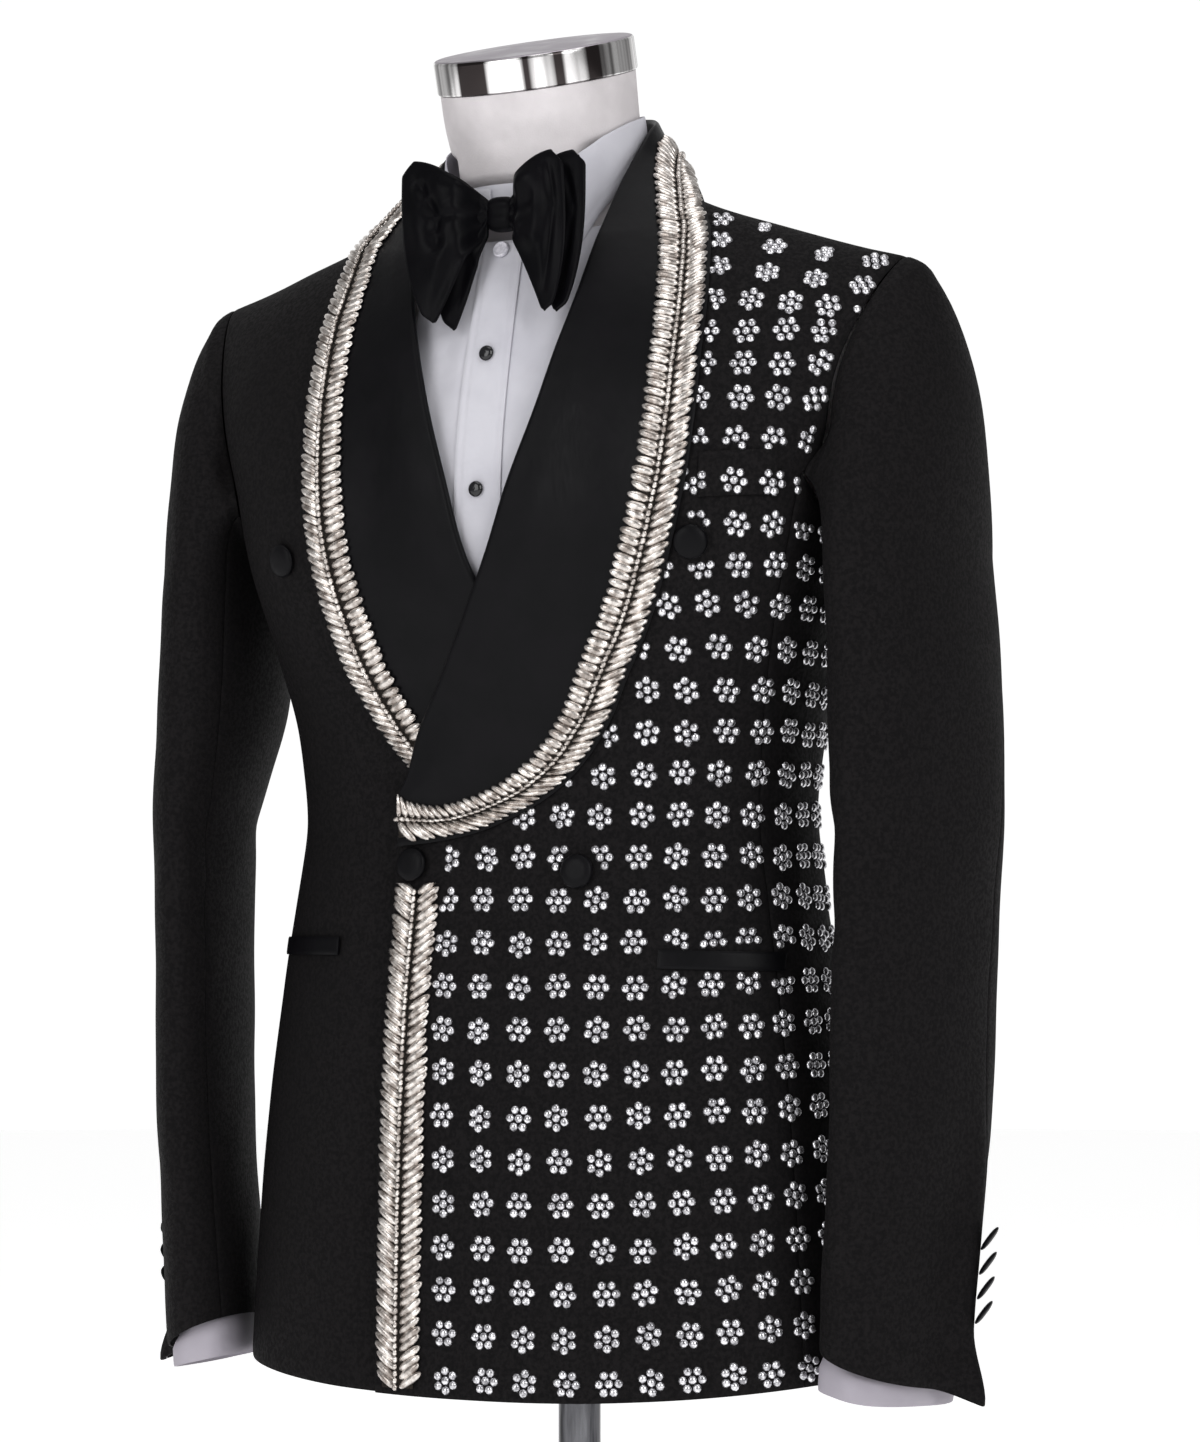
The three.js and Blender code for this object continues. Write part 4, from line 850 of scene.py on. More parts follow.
def grains(total, look, seed):
    rng = np.random.default_rng(seed)
    t, width, cosine, sine = grainShape()
    pitch, longest, *leans = look
    made = []
    for side, lean in zip((-1, 1), leans):
        arcs = np.arange(pitch * 0.3, total - pitch * 1.2, pitch)
        count = len(arcs)
        arcs = arcs + rng.normal(0, 0.2, count)
        angle = np.radians(lean + rng.normal(0, 1.8, count))[:, None, None]
        length = (longest * rng.uniform(0.94, 1.04, count))[:, None, None]
        half = (trimLook["width"] / 2 * rng.uniform(0.94, 1.05, count))[:, None, None]
        tall = (trimLook["thick"] * rng.uniform(0.88, 1.08, count))[:, None, None]
        run = t[None, :, None] * length
        off = width[None, :, None] * half * cosine[None, None, :]
        height = trimLook["base"] + tall * width[None, :, None] * np.maximum(sine, -0.15)[None, None, :]
        height = height + trimLook["crown"] * np.sin(np.pi * t)[None, :, None]
        along = arcs[:, None, None] + run * np.sin(angle) + off * np.cos(angle)
        across = side * (trimLook["fromSpine"] + run * np.cos(angle) - off * np.sin(angle))
        rings = np.stack(np.broadcast_arrays(along, across, height), -1)
        ends = np.stack([rings[:, 0].mean(1), rings[:, -1].mean(1)], 1)
        made.append((np.concatenate([rings.reshape(count, -1, 3), ends], 1), side))
    return made


def spineBeads(total, seed):
    rng = np.random.default_rng(seed)
    arcs = np.arange(1.9, total - 1.9, trimLook["spineLong"])
    polar = np.radians([30, 62, 118, 150])
    turn = np.linspace(0, 2 * np.pi, 8, endpoint=False)
    size = rng.uniform(0.92, 1.05, len(arcs))[:, None, None]
    reach, radius = size * trimLook["spineLong"] * 0.47, size * trimLook["spineWide"] / 2
    along = arcs[:, None, None] + reach * np.cos(polar)[None, :, None]
    bulge = radius * np.sin(polar)[None, :, None]
    across = rng.normal(0, 0.1, len(arcs))[:, None, None] + bulge * np.cos(turn)
    height = trimLook["spineUp"] + bulge * np.sin(turn)
    rings = np.stack(np.broadcast_arrays(along, across, height), -1)
    poles = np.stack([point(arcs + side * reach[:, 0, 0], 0, trimLook["spineUp"]) for side in (-1, 1)], 1)
    return np.concatenate([rings.reshape(len(arcs), -1, 3), poles], 1)


def beadedStrip(name, surface, samples, turn, look, seed, bare=0.5):
    total, onStrip = stripOn(surface, samples)
    a, c = shareGrid(np.linspace(1.5, total - bare, 160),
                     np.linspace(-trimLook["backing"], trimLook["backing"], 9))
    points = [onStrip(a, c, np.full_like(a, height)).reshape(-1, 3) for height in (0.9, 0.1)]
    faces = wallFaces(*a.shape, turn).tolist()
    backed = len(faces)
    start = 2 * a.size
    parts = [(flat, 8, 8, side * turn < 0) for flat, side in grains(total, look, seed)]
    parts.append((spineBeads(total, seed + 1), 4, 8, turn < 0))
    for flat, rings, around, flip in parts:
        made = np.array(flat).reshape(-1, 3)
        points.append(onStrip(np.clip(made[:, 0], 0.3, total - 0.3), made[:, 1], made[:, 2]))
        faces += [[index + start for index in face] for face in solidFaces(rings, around, len(flat), flip)]
        start += len(made)
    piece = makePiece(name, np.concatenate(points), faces, beads, [name.replace("-", "_")],
                      sharp=60)
    piece.data.materials.append(backing)
    slots = np.zeros(len(piece.data.polygons), int)
    slots[:backed] = 1
    piece.data.polygons.foreach_set("material_index", slots)
    return total


for side, (collar, onNeckOf, sign) in collars.items():
    samples = np.linspace(0, collarEnd, 900)
    length = beadedStrip("trim-collar-" + side, collarStrip(collar, sign), samples, -sign, stripLook[side],
                         11 + sign)
    print("trim", side, round(length))
beadedStrip("trim-front", frontStrip, np.linspace(3, 290, 400), -1, stripLook["front"], 5, bare=9)
print("trim made")


# Lathe work: a profile of (radius, height) turned about its own axis, then set on a seat.
def turned(profile, around, seat, axis, squash=None):
    profile = np.array(profile, float)
    turn = np.linspace(0, 2 * np.pi, around, endpoint=False)
    axis = unit(np.asarray(axis, float))
    side = unit(np.cross(axis, [0.0, 0.0, 1.0] if abs(axis[2]) < 0.9 else [0.0, 1.0, 0.0]))
    other = np.cross(axis, side)
    radius = profile[:, 0][:, None] * (squash(turn)[None] if squash else 1)
    circle = np.cos(turn)[None, :, None] * side + np.sin(turn)[None, :, None] * other
    rings = seat + radius[..., None] * circle + profile[:, 1][:, None, None] * axis
    return ringSolid(rings)


# A quarter circle of steps between two spots of a profile, for a rounded edge.
def rounded(spots, radius, steps=5):
    spots = np.array(spots, float)
    made = [spots[0]]
    for before, here, after in zip(spots[:-2], spots[1:-1], spots[2:]):
        back, ahead = before - here, after - here
        reach = min(radius, np.linalg.norm(back) / 2, np.linalg.norm(ahead) / 2)
        low, high = here + unit(back) * reach, here + unit(ahead) * reach
        for t in np.linspace(0, 1, steps):
            made.append(lerp(lerp(low, here, t), lerp(here, high, t), t))
    made.append(spots[-1])
    return made


buttonProfile = rounded([(0.5, 0), (8, 0), (10, 1.2), (9.4, 3.4), (6.6, 4.7), (3, 5), (0.3, 5)], 1.6)
# Each front button: x, up, side, gap under it.
frontButtons = [("button_chest_left", 131, 479, 1, 1.0, leftProud),
                ("button_chest_right", 131, 479, -1, 0.6, rightProud),
                ("button_waist_outer", 55, 296, 1, 0.8, leftProud),
                ("button_waist_edge", -50, 300.5, 1, 1.4, leftProud)]


# The rim of a covered button waves a little, as gathered cloth does.
def gathered(count, depth, phase):
    def rim(turn):
        finer = depth * 0.6 * np.cos((count + 3) * turn + 2 * phase)
        return 1 + depth * np.cos(count * turn + phase) + finer
    return rim


for name, x, up, sign, gap, proudAt in frontButtons:
    low = frontSpot(x, up, proudAt(x, up) + gap)
    high = frontSpot(x, up, proudAt(x, up) + gap + 1)
    points, faces = turned(buttonProfile, 40, mirrored(low, sign), mirrored(high - low, sign),
                           gathered(9, 0.006, x))
    makePiece(name.replace("_", "-"), points, faces, satin[0], [name], uv=points[:, [0, 2]])

sleeveButton = {"radius": 8, "thick": 3.2, "first": 52, "pitch": 13.6, "stand": 3.7, "lean": 0.75}
lensProfile = [(sleeveButton["radius"] * math.sin(math.radians(a)) ** 0.8,
                sleeveButton["thick"] / 2 * (1 - math.cos(math.radians(a)))) for a in range(4, 180, 11)]
for side, sign in bothSides:
    for number in range(4):
        up = sleeveButton["first"] + number * sleeveButton["pitch"]
        skin = sleeveSection(ventAngle, up)
        out = unit(skin - sleeveSection(ventAngle, up, 6))
        seat = skin + out * sleeveButton["stand"]
        axis = out - np.array([0, 0, sleeveButton["lean"]])
        points, faces = turned(lensProfile, 32, mirrored(seat, sign), mirrored(axis, sign),
                               gathered(7, 0.01, number))
        makePiece(f"sleeve-button-{side}-{number + 1}", points, faces, satin[0],
                  [f"sleeve_button_{side}_{number + 1}"], uv=points[:, [1, 2]])
print("buttons made")


# Welts lie on a front, with their ends square to their length.
def weltPiece(name, node, sign, x0, up0, x1, up1, tall, proudAt, look):
    u, v = shareGrid(edgedShares(24, 50, 0.5), edgedShares(8, tall, 0.5))
    x = lerp(x0, x1, u)
    up = lerp(up0, up1, u) + (v - 0.5) * tall
    outer = frontSpot(x, up, proudAt(x, up) + 0.5 + clothWall)
    clothPiece(name, mirrored(outer, sign), sign, look, [node])


weltPiece("welt-chest", "welt_chest", 1, 136, 516, 174, 518, 25, leftProud, wool)
weltPiece("welt-hip-left", "welt_hip_left", 1, 102, 247, 162, 245.5, 10.5, leftProud, satin)
weltPiece("welt-hip-right", "welt_hip_right", -1, 104, 254, 158, 254, 10.5, rightProud, satin)


# Shirt.
def shirtSpot(x, up, proud=0.0):
    return frontSpot(x, up, proud - (9 + 6 * smoothstep(up, 518, 643)))


for side, sign in bothSides:
    u, v = shareGrid(np.linspace(0, 1, 40), np.linspace(0, 1, 90))
    x = lerp(0.4, lerp(40, 60, smoothstep(v, 0, 0.9)), u)
    up = lerp(440, np.minimum(665 + 14 * (x / 60) ** 2, 679), v)
    drape = softFolds(x, up, [(26, 660, 34, 520, 7, -0.9), (44, 650, 38, 560, 8, 0.9),
                              (18, 560, 30, 470, 8, -0.7)])
    outer = shirtSpot(x, up, drape * smoothstep(x, 15, 24))
    clothPiece("shirt-front-" + side, mirrored(outer, sign), sign, cotton, ["shirt_front_" + side],
               wall=shirtWall, edgeTurn=0.2)
u, v = shareGrid(edgedShares(22, 30, 0.5), np.linspace(0, 1, 110))
stitch = 0.35 * np.exp(-((np.abs(u - 0.5) - 0.36) / 0.025) ** 2)
outer = shirtSpot(lerp(-15, 15, u), lerp(440, 666, v), 0.6 + shirtWall - stitch)
clothPiece("shirt-placket", outer, 1, cotton, ["shirt_placket"],
           wall=shirtWall, edgeTurn=0.3)

studProfile = [(0.3, 0), (4.1, 0), (4.6, 0.7), (4.4, 1.6), (3.2, 2.6), (1.4, 3.0), (0.2, 3.0)]
pearlProfile = [(0.3, 0), (4.6, 0), (5, 0.6), (4.9, 1.8), (4.2, 2.4), (3.2, 1.7), (0.2, 1.7)]
for name, up, profile, look, slotName in (("stud_upper", 595, studProfile, blackStone, "stud_black"),
                                          ("stud_lower", 514, studProfile, blackStone, "stud_black"),
                                          ("collar_button", 659.5, pearlProfile, pearl, "pearl")):
    low = shirtSpot(0.0, up, 0.6 + shirtWall + 0.5)
    high = shirtSpot(0.0, up, 1.6 + shirtWall + 0.5)
    points, faces = turned(rounded(profile, 0.6), 32, low, high - low)
    makePiece(name.replace("_", "-"), points, faces, look, [name])

# Neck rings: up, y, radius, tilt. Shirt collar leaf: angle, top and low up, radius.
neckY, neckRadius, neckTilt = curves([
    (700, -38, 46, 0), (711, -41, 47, 0), (724, -44, 56.5, 3), (742, -50, 57.5, 10), (762, -55, 58, 18),
])
leafTop, leafLow, leafRadius = curves([
    (9, 693, 676, 60), (24, 698, 667, 61), (48, 714, 659, 61), (62, 723, 684, 60),
    (90, 735, 713, 59.4), (130, 745, 722, 59.2), (180, 749, 726, 59.2),
])


def neckAt(angle, up, radius):
    turn = np.radians(angle)
    return point(radius * np.sin(turn), neckY(up) - radius * np.cos(turn), hemHeight + up)


u, v = shareGrid(edgedShares(100, 190, 0.5), edgedShares(26, 30, 0.5))
angle = lerp(9, 179.6, u)
high = neckAt(angle, leafTop(angle), leafRadius(angle) + 1.8 * smoothstep(angle, 80, 120))
tuck = neckAt(angle, leafLow(angle), leafRadius(angle))
onShirt = shirtSpot(tuck[..., 0] * 1.05, leafLow(angle), 2.8)
leaf = lerp(lerp(onShirt, tuck, smoothstep(angle, 48, 72)[..., None]), high, v[..., None])
puff = 0.8 * np.sin(np.pi * v) - 0.3 * np.exp(-((v - 0.2) / 0.03) ** 2)
leaf = leaf + gridNormals(leaf, 1) * puff[..., None]
for side, sign in bothSides:
    slump = 7 * v * (1 - smoothstep(np.abs(angle - 70), 25, 70)) * (sign < 0)
    clothPiece("shirt-collar-" + side, mirrored(leaf - point(0, 0, slump), sign), sign, cotton,
               ["shirt_collar_" + side],
               wall=shirtWall, edgeTurn=0.3)
u, v = shareGrid(edgedShares(50, 90, 0.5), edgedShares(8, 22, 0.5))
clothPiece("shirt-stand", neckAt(lerp(-46, 46, u), lerp(682, 695, v), 57.8), 1, cotton, ["shirt_stand"],
           wall=shirtWall, edgeTurn=0.3)


# Cuffs: a flattened ring of cloth with square corners, its two ends pressed together behind.
cuff = {"x": 216.5, "y": -51.7, "short": 20, "long": 46, "turn": 15, "below": -17, "above": 34}


def cuffAt(share, v):
    a = -share * 2 * np.pi
    turn = math.radians(cuff["turn"])
    square = smoothstep(1 - v, 0.6, 0.78)
    out = np.sign(np.cos(a)) * np.abs(np.cos(a)) ** (1 - 0.38 * square) * (cuff["short"] + 1.5 * square)
    ahead = np.sign(np.sin(a)) * np.abs(np.sin(a)) ** (1 - 0.25 * square) * (cuff["long"] + 3.5 * square)
    x = cuff["x"] + out * math.cos(turn) - ahead * math.sin(turn)
    y = cuff["y"] - out * math.sin(turn) - ahead * math.cos(turn)
    slope = sleeve["slope"] - 0.2 * smoothstep(0.5 - v, 0.1, 0.4)
    up = sleeve["hem"] - slope * (x - sleeve["hemX"]) + lerp(cuff["below"], cuff["above"], v)
    return point(x + 0.07 * up, y, hemHeight + up)


for side, sign in bothSides:
    share, v = shareGrid(edgedShares(120, 230, 0.5) * 0.996 + 0.33, edgedShares(14, 48, 0.5))
    flat = cuffAt(share, v)
    outer = flat + gridNormals(flat, 1) * unevenness(share * 230, v * 48, 0.12, 2.0 + sign)[..., None]
    clothPiece("shirt-cuff-" + side, mirrored(outer, sign), sign, paintedShadeCuffCotton, ["shirt_cuff_" + side],
               edgeTurn=0.4)
print("shirt made")

# Bow tie. A wing's middle surface runs out from the knot; v goes from its hanging point to its top.
# Each wing: layer, side, reach at its top and its tip, top, low, bulge, how far behind, hang, puff.
bow = {"x": 3.5, "y": -119, "up": 675, "knotY": -105.6, "knotHalf": 9.5, "knotTall": 10, "knotDeep": 7.4,
       "knotSquare": 0.6, "gathers": 0.9, "tuckedIn": 2.5, "rootBehind": {"front": 13, "back": 6}}
wingTable = [("front", -1, 58.5, 38, 33, -67, 6.5, -5, -4, 8),
             ("back", -1, 54, 27.5, 30, -71, 4, 6, -9, 6),
             ("front", 1, 46, 42, 32.5, -65, 6.5, -5, -4, 8),
             ("back", 1, 55, 47.5, 33.5, -65, 6.5, 6, -11, 6)]
# Creases of each wing: distance from the knot and up, as in softFolds.
wingCreases = [
    [(46.5, 21, 40, 9, 4, -3.5), (40, 9, 32.5, -2, 4, -4), (32.5, -2, 33, -12, 4, -3.5),
     (33, -12, 30, -22, 4, -2.5), (32.5, -2, 13, -1, 3.5, -2.5), (38, 22, 24, 8, 6, 2),
     (48, 4, 40, -24, 6, 2), (26, -14, 31, -42, 6, 1.5), (20, -14, 34, -60, 4, -1.2)],
    [(16, -14, 24, -58, 3, -1.2), (30, 10, 34, -30, 6, 1)],
    [(12, 1, 31, 1, 6.5, -5), (18, 12, 33, 20, 6, 2), (22, -14, 33, -24, 6, 2),
     (38, 24, 43, 0, 2.2, -1.8), (43, 0, 38, -48, 2.2, -1.8), (31, 10, 34, -34, 4, 1.2)],
    [(44, 22, 51, -2, 2.2, -1.5), (51, -2, 45, -50, 2.2, -1.5)],
]


def wingAt(row, u, v, face):
    layer, sign, reach, tip, top, low, bulge, y, hang, deep = row
    flare = 1 - (1 - u) ** 2
    cornerRound = smoothstep(np.abs(2 * v - 1), 0.84, 1) ** 2
    outer = lerp(tip, reach, v) + bulge * np.sin(np.pi * v ** 0.8) - 4 * cornerRound
    x = lerp(bow["knotHalf"] - bow["tuckedIn"], outer, u)
    corner = 3.5 * smoothstep(u, 0.88, 1) ** 2
    fall = 0.85 if sign < 0 else 1.25
    up = lerp(lerp(-8, low + corner, u ** fall), lerp(8, top - corner, flare), v)
    puff = 1.2 + deep * np.sin(np.pi * (0.1 + 0.8 * u)) * np.sin(np.pi * v) ** 0.7
    root = bow["rootBehind"][layer] * (1 - smoothstep(u, 0, 0.3))
    back = lerp(hang, 4, v) * u * u + y * np.minimum(1, 0.35 + 2 * u) + root
    return point(bow["x"] + sign * x, bow["y"] + back + face * puff / 2, hemHeight + bow["up"] + up)


for row, creases in zip(wingTable, wingCreases):
    layer, sign = row[:2]
    u, v = shareGrid(edgedShares(70, 60, 0.6), edgedShares(90, 90, 0.6))
    outer = wingAt(row, u, v, -1)
    away = sign * (outer[..., 0] - bow["x"])
    gathers = bow["gathers"] * np.cos(2 * np.pi * (v * 3.1 + 0.25)) * np.exp(-((u / 0.4) ** 2))
    crease = softFolds(away, outer[..., 2] - hemHeight - bow["up"], creases)
    outer = outer - point(0, (gathers + crease) * smoothstep(np.minimum(u, 1.02 - u), 0, 0.06), 0)
    side = "left" if sign > 0 else "right"
    clothPiece(f"bow-{layer}-{side}", outer, sign, bowSatin, [f"bow_{layer}_{side}"])


# The knot: a squared ball with a fold across its middle.
def squared(value, half):
    return half * np.sign(value) * np.abs(value) ** bow["knotSquare"]


polar, turn = shareGrid(np.linspace(0.03, np.pi - 0.03, 30),
                        np.linspace(0, 2 * np.pi, 56, endpoint=False))
wrap = 1 - 0.16 * np.exp(-((np.cos(polar) + 0.05) / 0.13) ** 2)
rings = point(bow["x"] + squared(np.sin(polar) * np.cos(turn), bow["knotHalf"]),
              bow["knotY"] + squared(np.sin(polar) * np.sin(turn), bow["knotDeep"]) * wrap,
              hemHeight + bow["up"] - squared(np.cos(polar), bow["knotTall"]))
points, faces = ringSolid(rings)
knot = makePiece("bow-knot", points, faces, bowSatin[0], ["bow_knot"], uv=points[:, [0, 2]])
u, v = shareGrid(edgedShares(12, 13, 0.5), edgedShares(8, 12, 0.5))
outer = neckAt(lerp(-6.5, 6.5, u), lerp(674.5, 686.5, v), 60.1)
clothPiece("bow-band", outer, 1, satin, ["bow_band"])
print("bow tie made")

# Dress form: level rings inside the jacket, then leaning rings up the neck.
form = {"inset": 15.0, "ridgeDrop": 2.6, "widest": 196.0, "armInset": 31, "throat": 56.3, "around": 52}


def formHalf(up):
    low, high = 0.0, 239.0
    for _ in range(30):
        middle = (low + high) / 2
        low, high = (middle, high) if ridgeUp(middle) - form["ridgeDrop"] > up else (low, middle)
    return min(float(bodyHalf(up)) - form["inset"], form["widest"], low)


def formRing(up):
    half = formHalf(up)
    wide = max(float(bodyHalf(up)) - form["inset"], half)
    around = form["around"]
    share = np.sin(np.pi * ((np.arange(around) + 0.5) / around - 0.5))
    rings = []
    for inFront in (True, False):
        x = half * 0.999 * (share if inFront else -share)
        top = ridgeUp(np.abs(x)) - form["ridgeDrop"]
        past = np.clip((up - shoulderStart) / (top - shoulderStart), 0, 1)
        rounding = frontRound if inFront else backRound
        closing = np.maximum(1 - past ** rounding, 0) ** (1 / rounding)
        middle = lerp(bodyMiddle, ridgeY(np.abs(x)), past)
        inset = form["inset"] + form["armInset"] * smoothstep(up, 500, 640)
        reach = (bodyFront(up) + inset if inFront else bodyBack(up) - inset) - bodyMiddle
        square = float(bodySquare(up))
        section = (1 - np.abs(x / wide) ** square) ** (1 / square)
        rings.append(point(x, middle + reach * section * closing, hemHeight + up))
    return np.concatenate(rings)


def neckRing(up):
    lean = np.radians(neckTilt(up))
    a = np.pi * ((np.arange(form["around"] * 2) + 0.5) / form["around"] - 1)
    throat = 1 - smoothstep(np.abs(np.degrees(a) + 90), 42, 62)
    radius = lerp(neckRadius(up), np.maximum(neckRadius(up), form["throat"]), throat)
    ahead = radius * np.sin(a)
    return point(radius * np.cos(a), neckY(up) + ahead * np.cos(lean),
                 hemHeight + up + ahead * np.sin(lean))


formUps = np.concatenate([np.linspace(78, 478, 41), np.linspace(486, 640, 30), np.linspace(644, 693, 16)])
neckUps = np.linspace(700, 762, 26)
rings = np.stack([formRing(float(up)) for up in formUps] + [neckRing(float(up)) for up in neckUps])
points, faces = ringSolid(rings)
makePiece("form-body", points, faces, jersey[0], ["form_body"], sharp=60)

# The cap sits 0.4 mm above the neck's last ring and leans with it. Its lid has a steel of its own.
lean = math.radians(18)
capSeat = np.array([0, -55 - 0.4 * math.sin(lean), hemHeight + 762 + 0.4 * math.cos(lean)])
lidFrom = 19.4
capAxis = np.array([0, -math.sin(lean), math.cos(lean)])
capProfile = rounded([(0.4, 0), (59.5, 0), (59.5, 18.6), (58, 20), (20, 20.8), (0.4, 21)], 1.2)
points, faces = turned(capProfile, 128, capSeat, capAxis)
cap = makePiece("neck-cap", points, faces, bandSteel, ["neck_cap"], sharp=35)
cap.data.materials.append(topSteel)
centres = np.empty(len(cap.data.polygons) * 3)
cap.data.polygons.foreach_get("center", centres)
aboveSeat = (centres.reshape(-1, 3) * 1000 - capSeat) @ capAxis
cap.data.polygons.foreach_set("material_index", (aboveSeat > lidFrom).astype(int))

baseSpots = [(0.5, 0), (172, 0), (172, 4), (168, 8), (40, 16), (26, 22), (24, 34), (0.5, 34)]
baseProfile = rounded(baseSpots, 3)
points, faces = turned(baseProfile, 128, np.zeros(3), (0, 0, 1))
makePiece("stand-base", points, faces, baseSteel, ["base"], sharp=35)
poleProfile = rounded([(0.4, 34.3), (12.5, 34.3), (12.5, 379.7), (0.4, 379.7)], 0.8)
points, faces = turned(poleProfile, 64, np.zeros(3), (0, 0, 1))
makePiece("stand-pole", points, faces, chrome, ["pole"], sharp=35)
print("stand made")

# Flowers of cut stones on the left front and side. Each row: up, first arc, pitch of the arcs.
flowerUps = [11, 35.5, 60, 84.4, 109, 133.5, 158, 182.4, 206.8, 231, 255.6, 280, 304, 328, 351, 374.5,
             398, 421, 444.5, 466, 489, 512.5, 536, 559, 579, 599, 620, 640, 656, 670]
flowerFirst, flowerPitch = curves([(11, -15, 25.4), (304, -27, 24.3), (351, -25.5, 24.6),
                                   (398, -21.5, 25), (444, -28, 25.3), (500, -31, 25.3),
                                   (555, -32.5, 25.5), (616, -35.5, 26), (624, -37, 26.5),
                                   (640, -80, 32.5), (656, -122, 38), (670, -88, 38)])
# A stone's shape is three rings: share of its radius and of its height. Clear distances are in mm.
flowerLook = {"ring": 5.5, "stone": 2.6, "tall": 1.7, "seed": 31, "clear": 2.4, "fromStrip": 31,
              "fromTrim": 14.6, "button": 8.5, "welt": 5.5, "onWelt": 2.1}
stoneRings = ((1.0, 0.0), (0.94, 0.42), (0.58, 0.92))


def flowerSpots():
    rng = np.random.default_rng(flowerLook["seed"])
    angles = np.linspace(-50, 117, 700)
    spots = []
    for up in flowerUps:
        line = bodyAt(angles, np.full_like(angles, up))
        arc = np.concatenate([[0], np.cumsum(np.linalg.norm(np.diff(line, axis=0), axis=1))])
        arc = arc - np.interp(0, angles, arc)
        k = np.arange(-1, 13)
        starts = flowerFirst(up) + flowerPitch(up) * k - 0.21 * k * k
        starts = starts + rng.normal(0, 0.5, len(starts))
        rowUps = up + rng.normal(0, 0.5, len(starts))
        spin = rng.normal(0, 7, len(starts)) + 30 * (rng.random(len(starts)) < 0.35)
        for start, rowUp, turn in zip(starts, rowUps, spin):
            petals = np.radians(turn + np.arange(6) * 60)
            a = start + np.concatenate([[0], flowerLook["ring"] * np.cos(petals)])
            squash = 1 - 0.4 * smoothstep(up, 600, 665)
            b = rowUp + np.concatenate([[0], flowerLook["ring"] * squash * np.sin(petals)])
            bearing = np.interp(a, arc, angles)
            level = bodyAt(bearing, np.full_like(a, rowUp))[:, 0]
            bearing = np.where(bearing < 55, angleOf(level, b), bearing)
            rise = hemRise(bearing) * (1 - smoothstep(rowUp, -60, 420))
            slant = 0.17 * smoothstep(up, 590, 645) * (level - 125)
            spots.append(np.stack([bearing, b + rise - slant], 1))
    return np.concatenate(spots)


# How far a spot lies outside the middle line of the collar's trim, and less than 0 inside it.
def outsideTrim(x, up):
    steps = np.linspace(0, 15, 400)
    lineX, lineUp = (curve(steps) for curve in curves(trimLeft))
    gap = np.hypot(x[:, None] - lineX, up[:, None] - lineUp)
    nearest = gap.argmin(1)
    i = np.clip(nearest, 1, len(steps) - 2)
    aheadX, aheadUp = lineX[i + 1] - lineX[i - 1], lineUp[i + 1] - lineUp[i - 1]
    side = aheadX * (lineUp[i] - up) + aheadUp * (x - lineX[i])
    return np.where(side > 0, gap.min(1), -gap.min(1))


spots = flowerSpots()
angle, up = spots.T
where = bodyAt(angle, up)
x = where[:, 0]
clear = flowerLook["clear"]
besideStrip = x > rollLeft(up) + flowerLook["fromStrip"] + clear
besideTrim = outsideTrim(x, up) > flowerLook["fromTrim"]
keep = np.where(up < 318, besideStrip, True) & besideTrim | (up < 293) & besideStrip
keep &= (up > hemRise(angle) + 4) & (angle < 115)
keep &= np.where(up > panelTop - 27, (angle < frontSeamAngle) & (x < armholeFront(up) - 1), True)
keep &= up < ridgeUp(x) - 2.5
for _, bx, bup, sign, _, _ in frontButtons:
    keep &= (np.hypot(x - bx, up - bup) > flowerLook["button"] + clear) | (sign < 0)
onHip = (x > 100) & (x < 164) & (np.abs(up - 246.3) < flowerLook["welt"] + clear) & (angle < 90)
keep &= ~onHip
onChest = (x > 134) & (x < 176) & (np.abs(up - 517) < 12.5) & (angle < frontSeamAngle)
keep &= ~((np.abs(np.abs(up - 517) - 12.5) < 1.6) & (x > 133) & (x < 177))
angle, up, x, onChest = angle[keep], up[keep], x[keep], onChest[keep]
onFront = angle < frontSeamAngle


# The spot and the normal of a made panel at shares u and v, blended between its grid's corners.
def onPanel(grid, us, vs, u, v):
    i = np.clip(np.searchsorted(us, u) - 1, 0, len(us) - 2)
    j = np.clip(np.searchsorted(vs, v) - 1, 0, len(vs) - 2)
    a = ((u - us[i]) / (us[i + 1] - us[i]))[:, None]
    b = ((v - vs[j]) / (vs[j + 1] - vs[j]))[:, None]
    spots = []
    for field in (grid, unit(np.gradient(grid, axis=0)), gridNormals(grid, 1)):
        low = lerp(field[i, j], field[i + 1, j], a)
        spots.append(lerp(low, lerp(field[i, j + 1], field[i + 1, j + 1], a), b))
    return spots


inner, seam = frontEdges(rollLeft, up)
top = ridgeUp(np.maximum(x, neckSide))
left = np.sqrt(np.clip((top - up) / (top - panelTop), 0, 1))
shareUp = np.where(up <= panelTop, (up - hemRise(angle)) / (panelTop - hemRise(angle)) * 2, 3 - left) / 3
front = onPanel(bodyGrids["front-left"], frontU, frontV, (angle - inner) / (seam - inner), shareUp)
sideWide = backSeamAngle - frontSeamAngle - 2 * body["seamGap"]
sideShare = (angle - frontSeamAngle - body["seamGap"]) / sideWide
sideTall = sideTop(np.clip(sideShare, 0, 1)) - hemRise(angle)
beside = onPanel(bodyGrids["side-left"], sideU, sideV, sideShare, (up - hemRise(angle)) / sideTall)
centre, across, normal = (np.where(onFront[:, None], a, b) for a, b in zip(front, beside))
normal = unit(normal)
across = unit(across - (across * normal).sum(1, keepdims=True) * normal)
along = np.cross(normal, across)
centre = centre + normal * (np.where(onChest, flowerLook["onWelt"], 0) + 0.05)[:, None]
rng = np.random.default_rng(7)
turn = np.linspace(0, 2 * np.pi, 8, endpoint=False) + rng.uniform(0, 0.7, len(x))[:, None]
rings = []
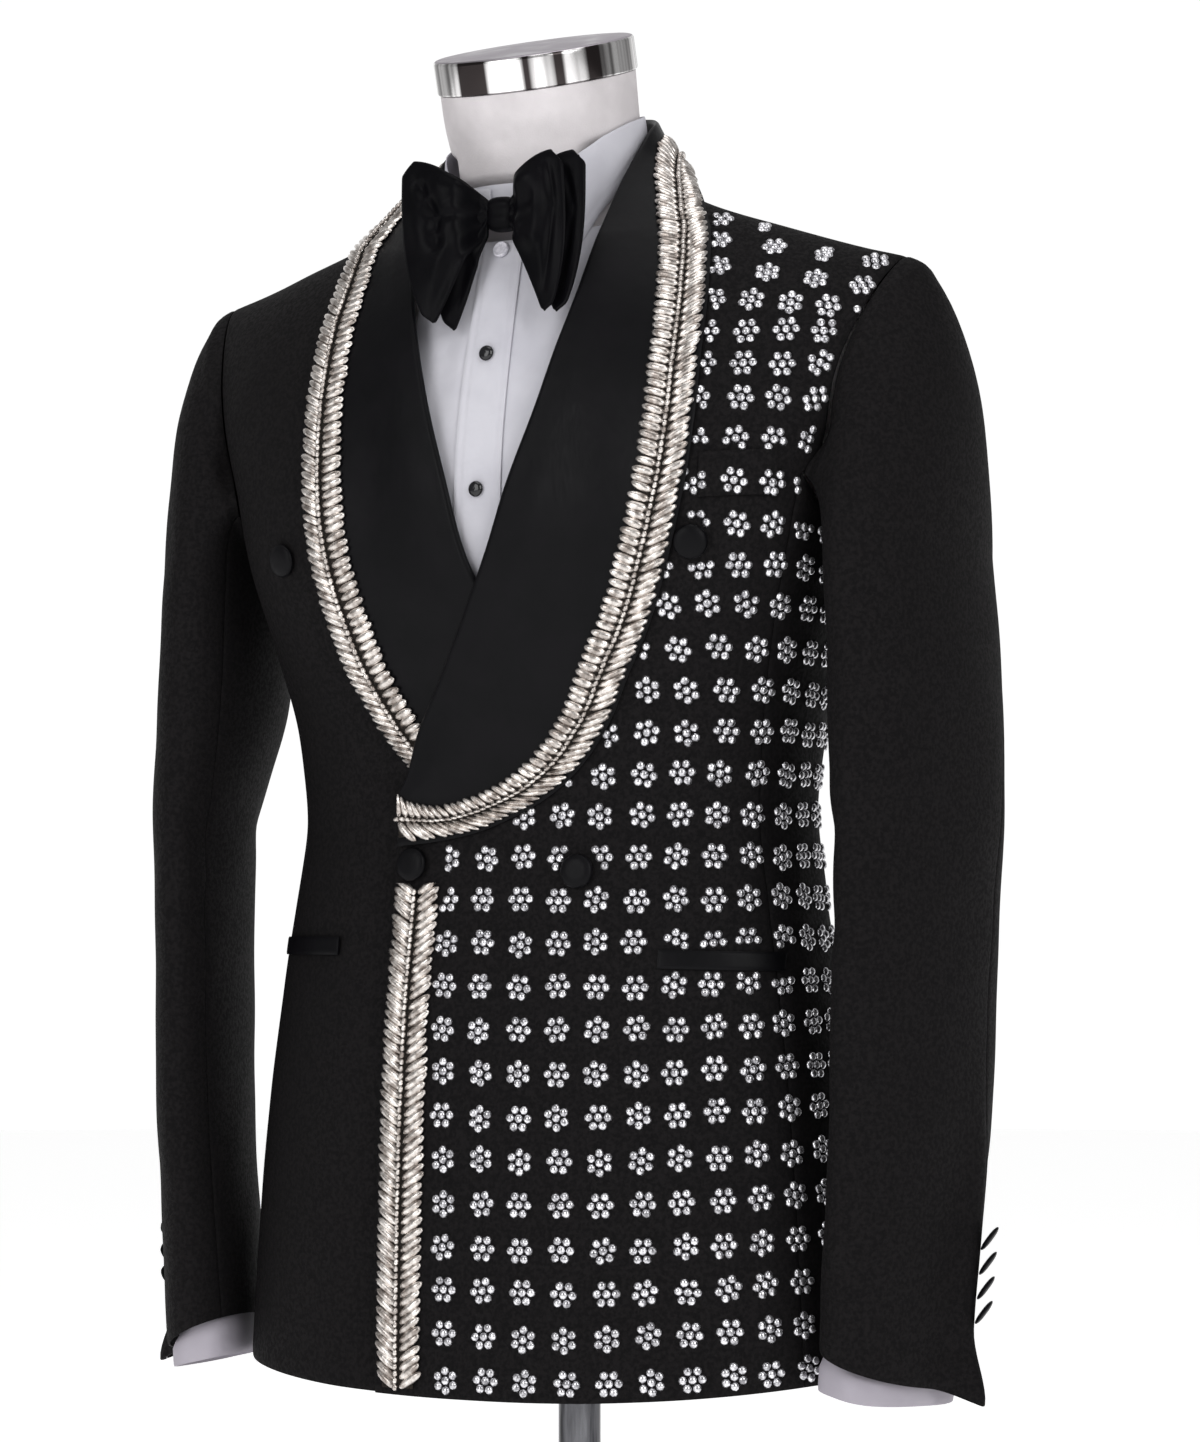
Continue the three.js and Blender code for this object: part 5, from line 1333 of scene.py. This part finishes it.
for radius, height in stoneRings:
    ring = np.cos(turn)[..., None] * across[:, None] + np.sin(turn)[..., None] * along[:, None]
    rise = flowerLook["tall"] * height * normal[:, None]
    rings.append(centre[:, None] + flowerLook["stone"] * radius * ring + rise)
rings = np.stack(rings, 1)
ends = np.stack([centre, centre + normal * flowerLook["tall"] * 1.02], 1)
points = np.concatenate([rings.reshape(len(x), -1, 3), ends], 1)
makePiece("flower-stones", points.reshape(-1, 3), solidFaces(3, 8, len(x)), glass, [],
          sharp=75)
print("stones", len(x))

# Camera, light and floor.
shot = {"place": (1070.7, -2128.9, 567.0), "rise": 2.95, "turn": 26.41, "lens": 99.886}
cameraData = bpy.data.cameras.new("camera")
cameraData.sensor_fit = "VERTICAL"
cameraData.sensor_height = 36
cameraData.lens = shot["lens"]
cameraData.clip_end = 50
camera = bpy.data.objects.new("camera", cameraData)
camera.location = [value * 0.001 for value in shot["place"]]
camera.rotation_euler = (math.radians(90 + shot["rise"]), 0, math.radians(shot["turn"]))
bpy.context.scene.collection.objects.link(camera)
bpy.context.scene.camera = camera
bpy.context.scene.view_settings.view_transform = "Standard"


def softbox(name, place, aim, size, power):
    data = bpy.data.lights.new(name, "AREA")
    data.shape = "RECTANGLE"
    data.size, data.size_y = size
    data.energy = power
    lamp = bpy.data.objects.new(name, data)
    lamp.location = place
    back = unit(np.array(place, float) - np.array(aim, float))
    lamp.rotation_euler = (math.acos(back[2]), 0, math.atan2(back[0], -back[1]))
    bpy.context.scene.collection.objects.link(lamp)


softbox("key", (2.6, -1.8, 2.0), (0, 0, 0.8), (1.5, 2.2), 40)
softbox("fill", (-0.7, -3.2, 1.7), (0, 0, 0.8), (1.6, 2.2), 34)
softbox("top", (0.2, -0.2, 3.2), (0, 0, 0.7), (2.0, 2.0), 20)

world = bpy.data.worlds.new("studio")
world.use_nodes = True
sky = world.node_tree
background = sky.nodes["Background"]
where = sky.nodes.new("ShaderNodeTexCoord")
aim = sky.nodes.new("ShaderNodeVectorMath")
aim.operation = "DOT_PRODUCT"
aim.inputs[1].default_value = (-0.444, 0.894, 0.05)
spread = sky.nodes.new("ShaderNodeMapRange")
for key, value in (("From Min", 0.55), ("From Max", 0.9), ("To Min", 0.3), ("To Max", 1.02)):
    spread.inputs[key].default_value = value
sky.links.new(where.outputs["Generated"], aim.inputs[0])
sky.links.new(aim.outputs["Value"], spread.inputs["Value"])
sky.links.new(spread.outputs["Result"], background.inputs["Strength"])
background.inputs["Color"].default_value = (1, 1, 1, 1)
bpy.context.scene.world = world

turn = np.linspace(0, 2 * np.pi, 96, endpoint=False)
floorMesh = bpy.data.meshes.new("floor")
ring = point(9 * np.cos(turn), 9 * np.sin(turn), -0.0005)
floorMesh.from_pydata(ring.tolist(), [], [list(range(96))])
floorMaterial, floorShader = newMaterial("floor", Roughness=0.8)
floorShader.inputs["Base Color"].default_value = (0.86, 0.86, 0.86, 1)
floorShader.inputs["Emission Color"].default_value = (1, 1, 1, 1)
floorShader.inputs["Emission Strength"].default_value = 0.62
floorMesh.materials.append(floorMaterial)
floor = bpy.data.objects.new("floor", floorMesh)
bpy.context.scene.collection.objects.link(floor)
print("stage set")
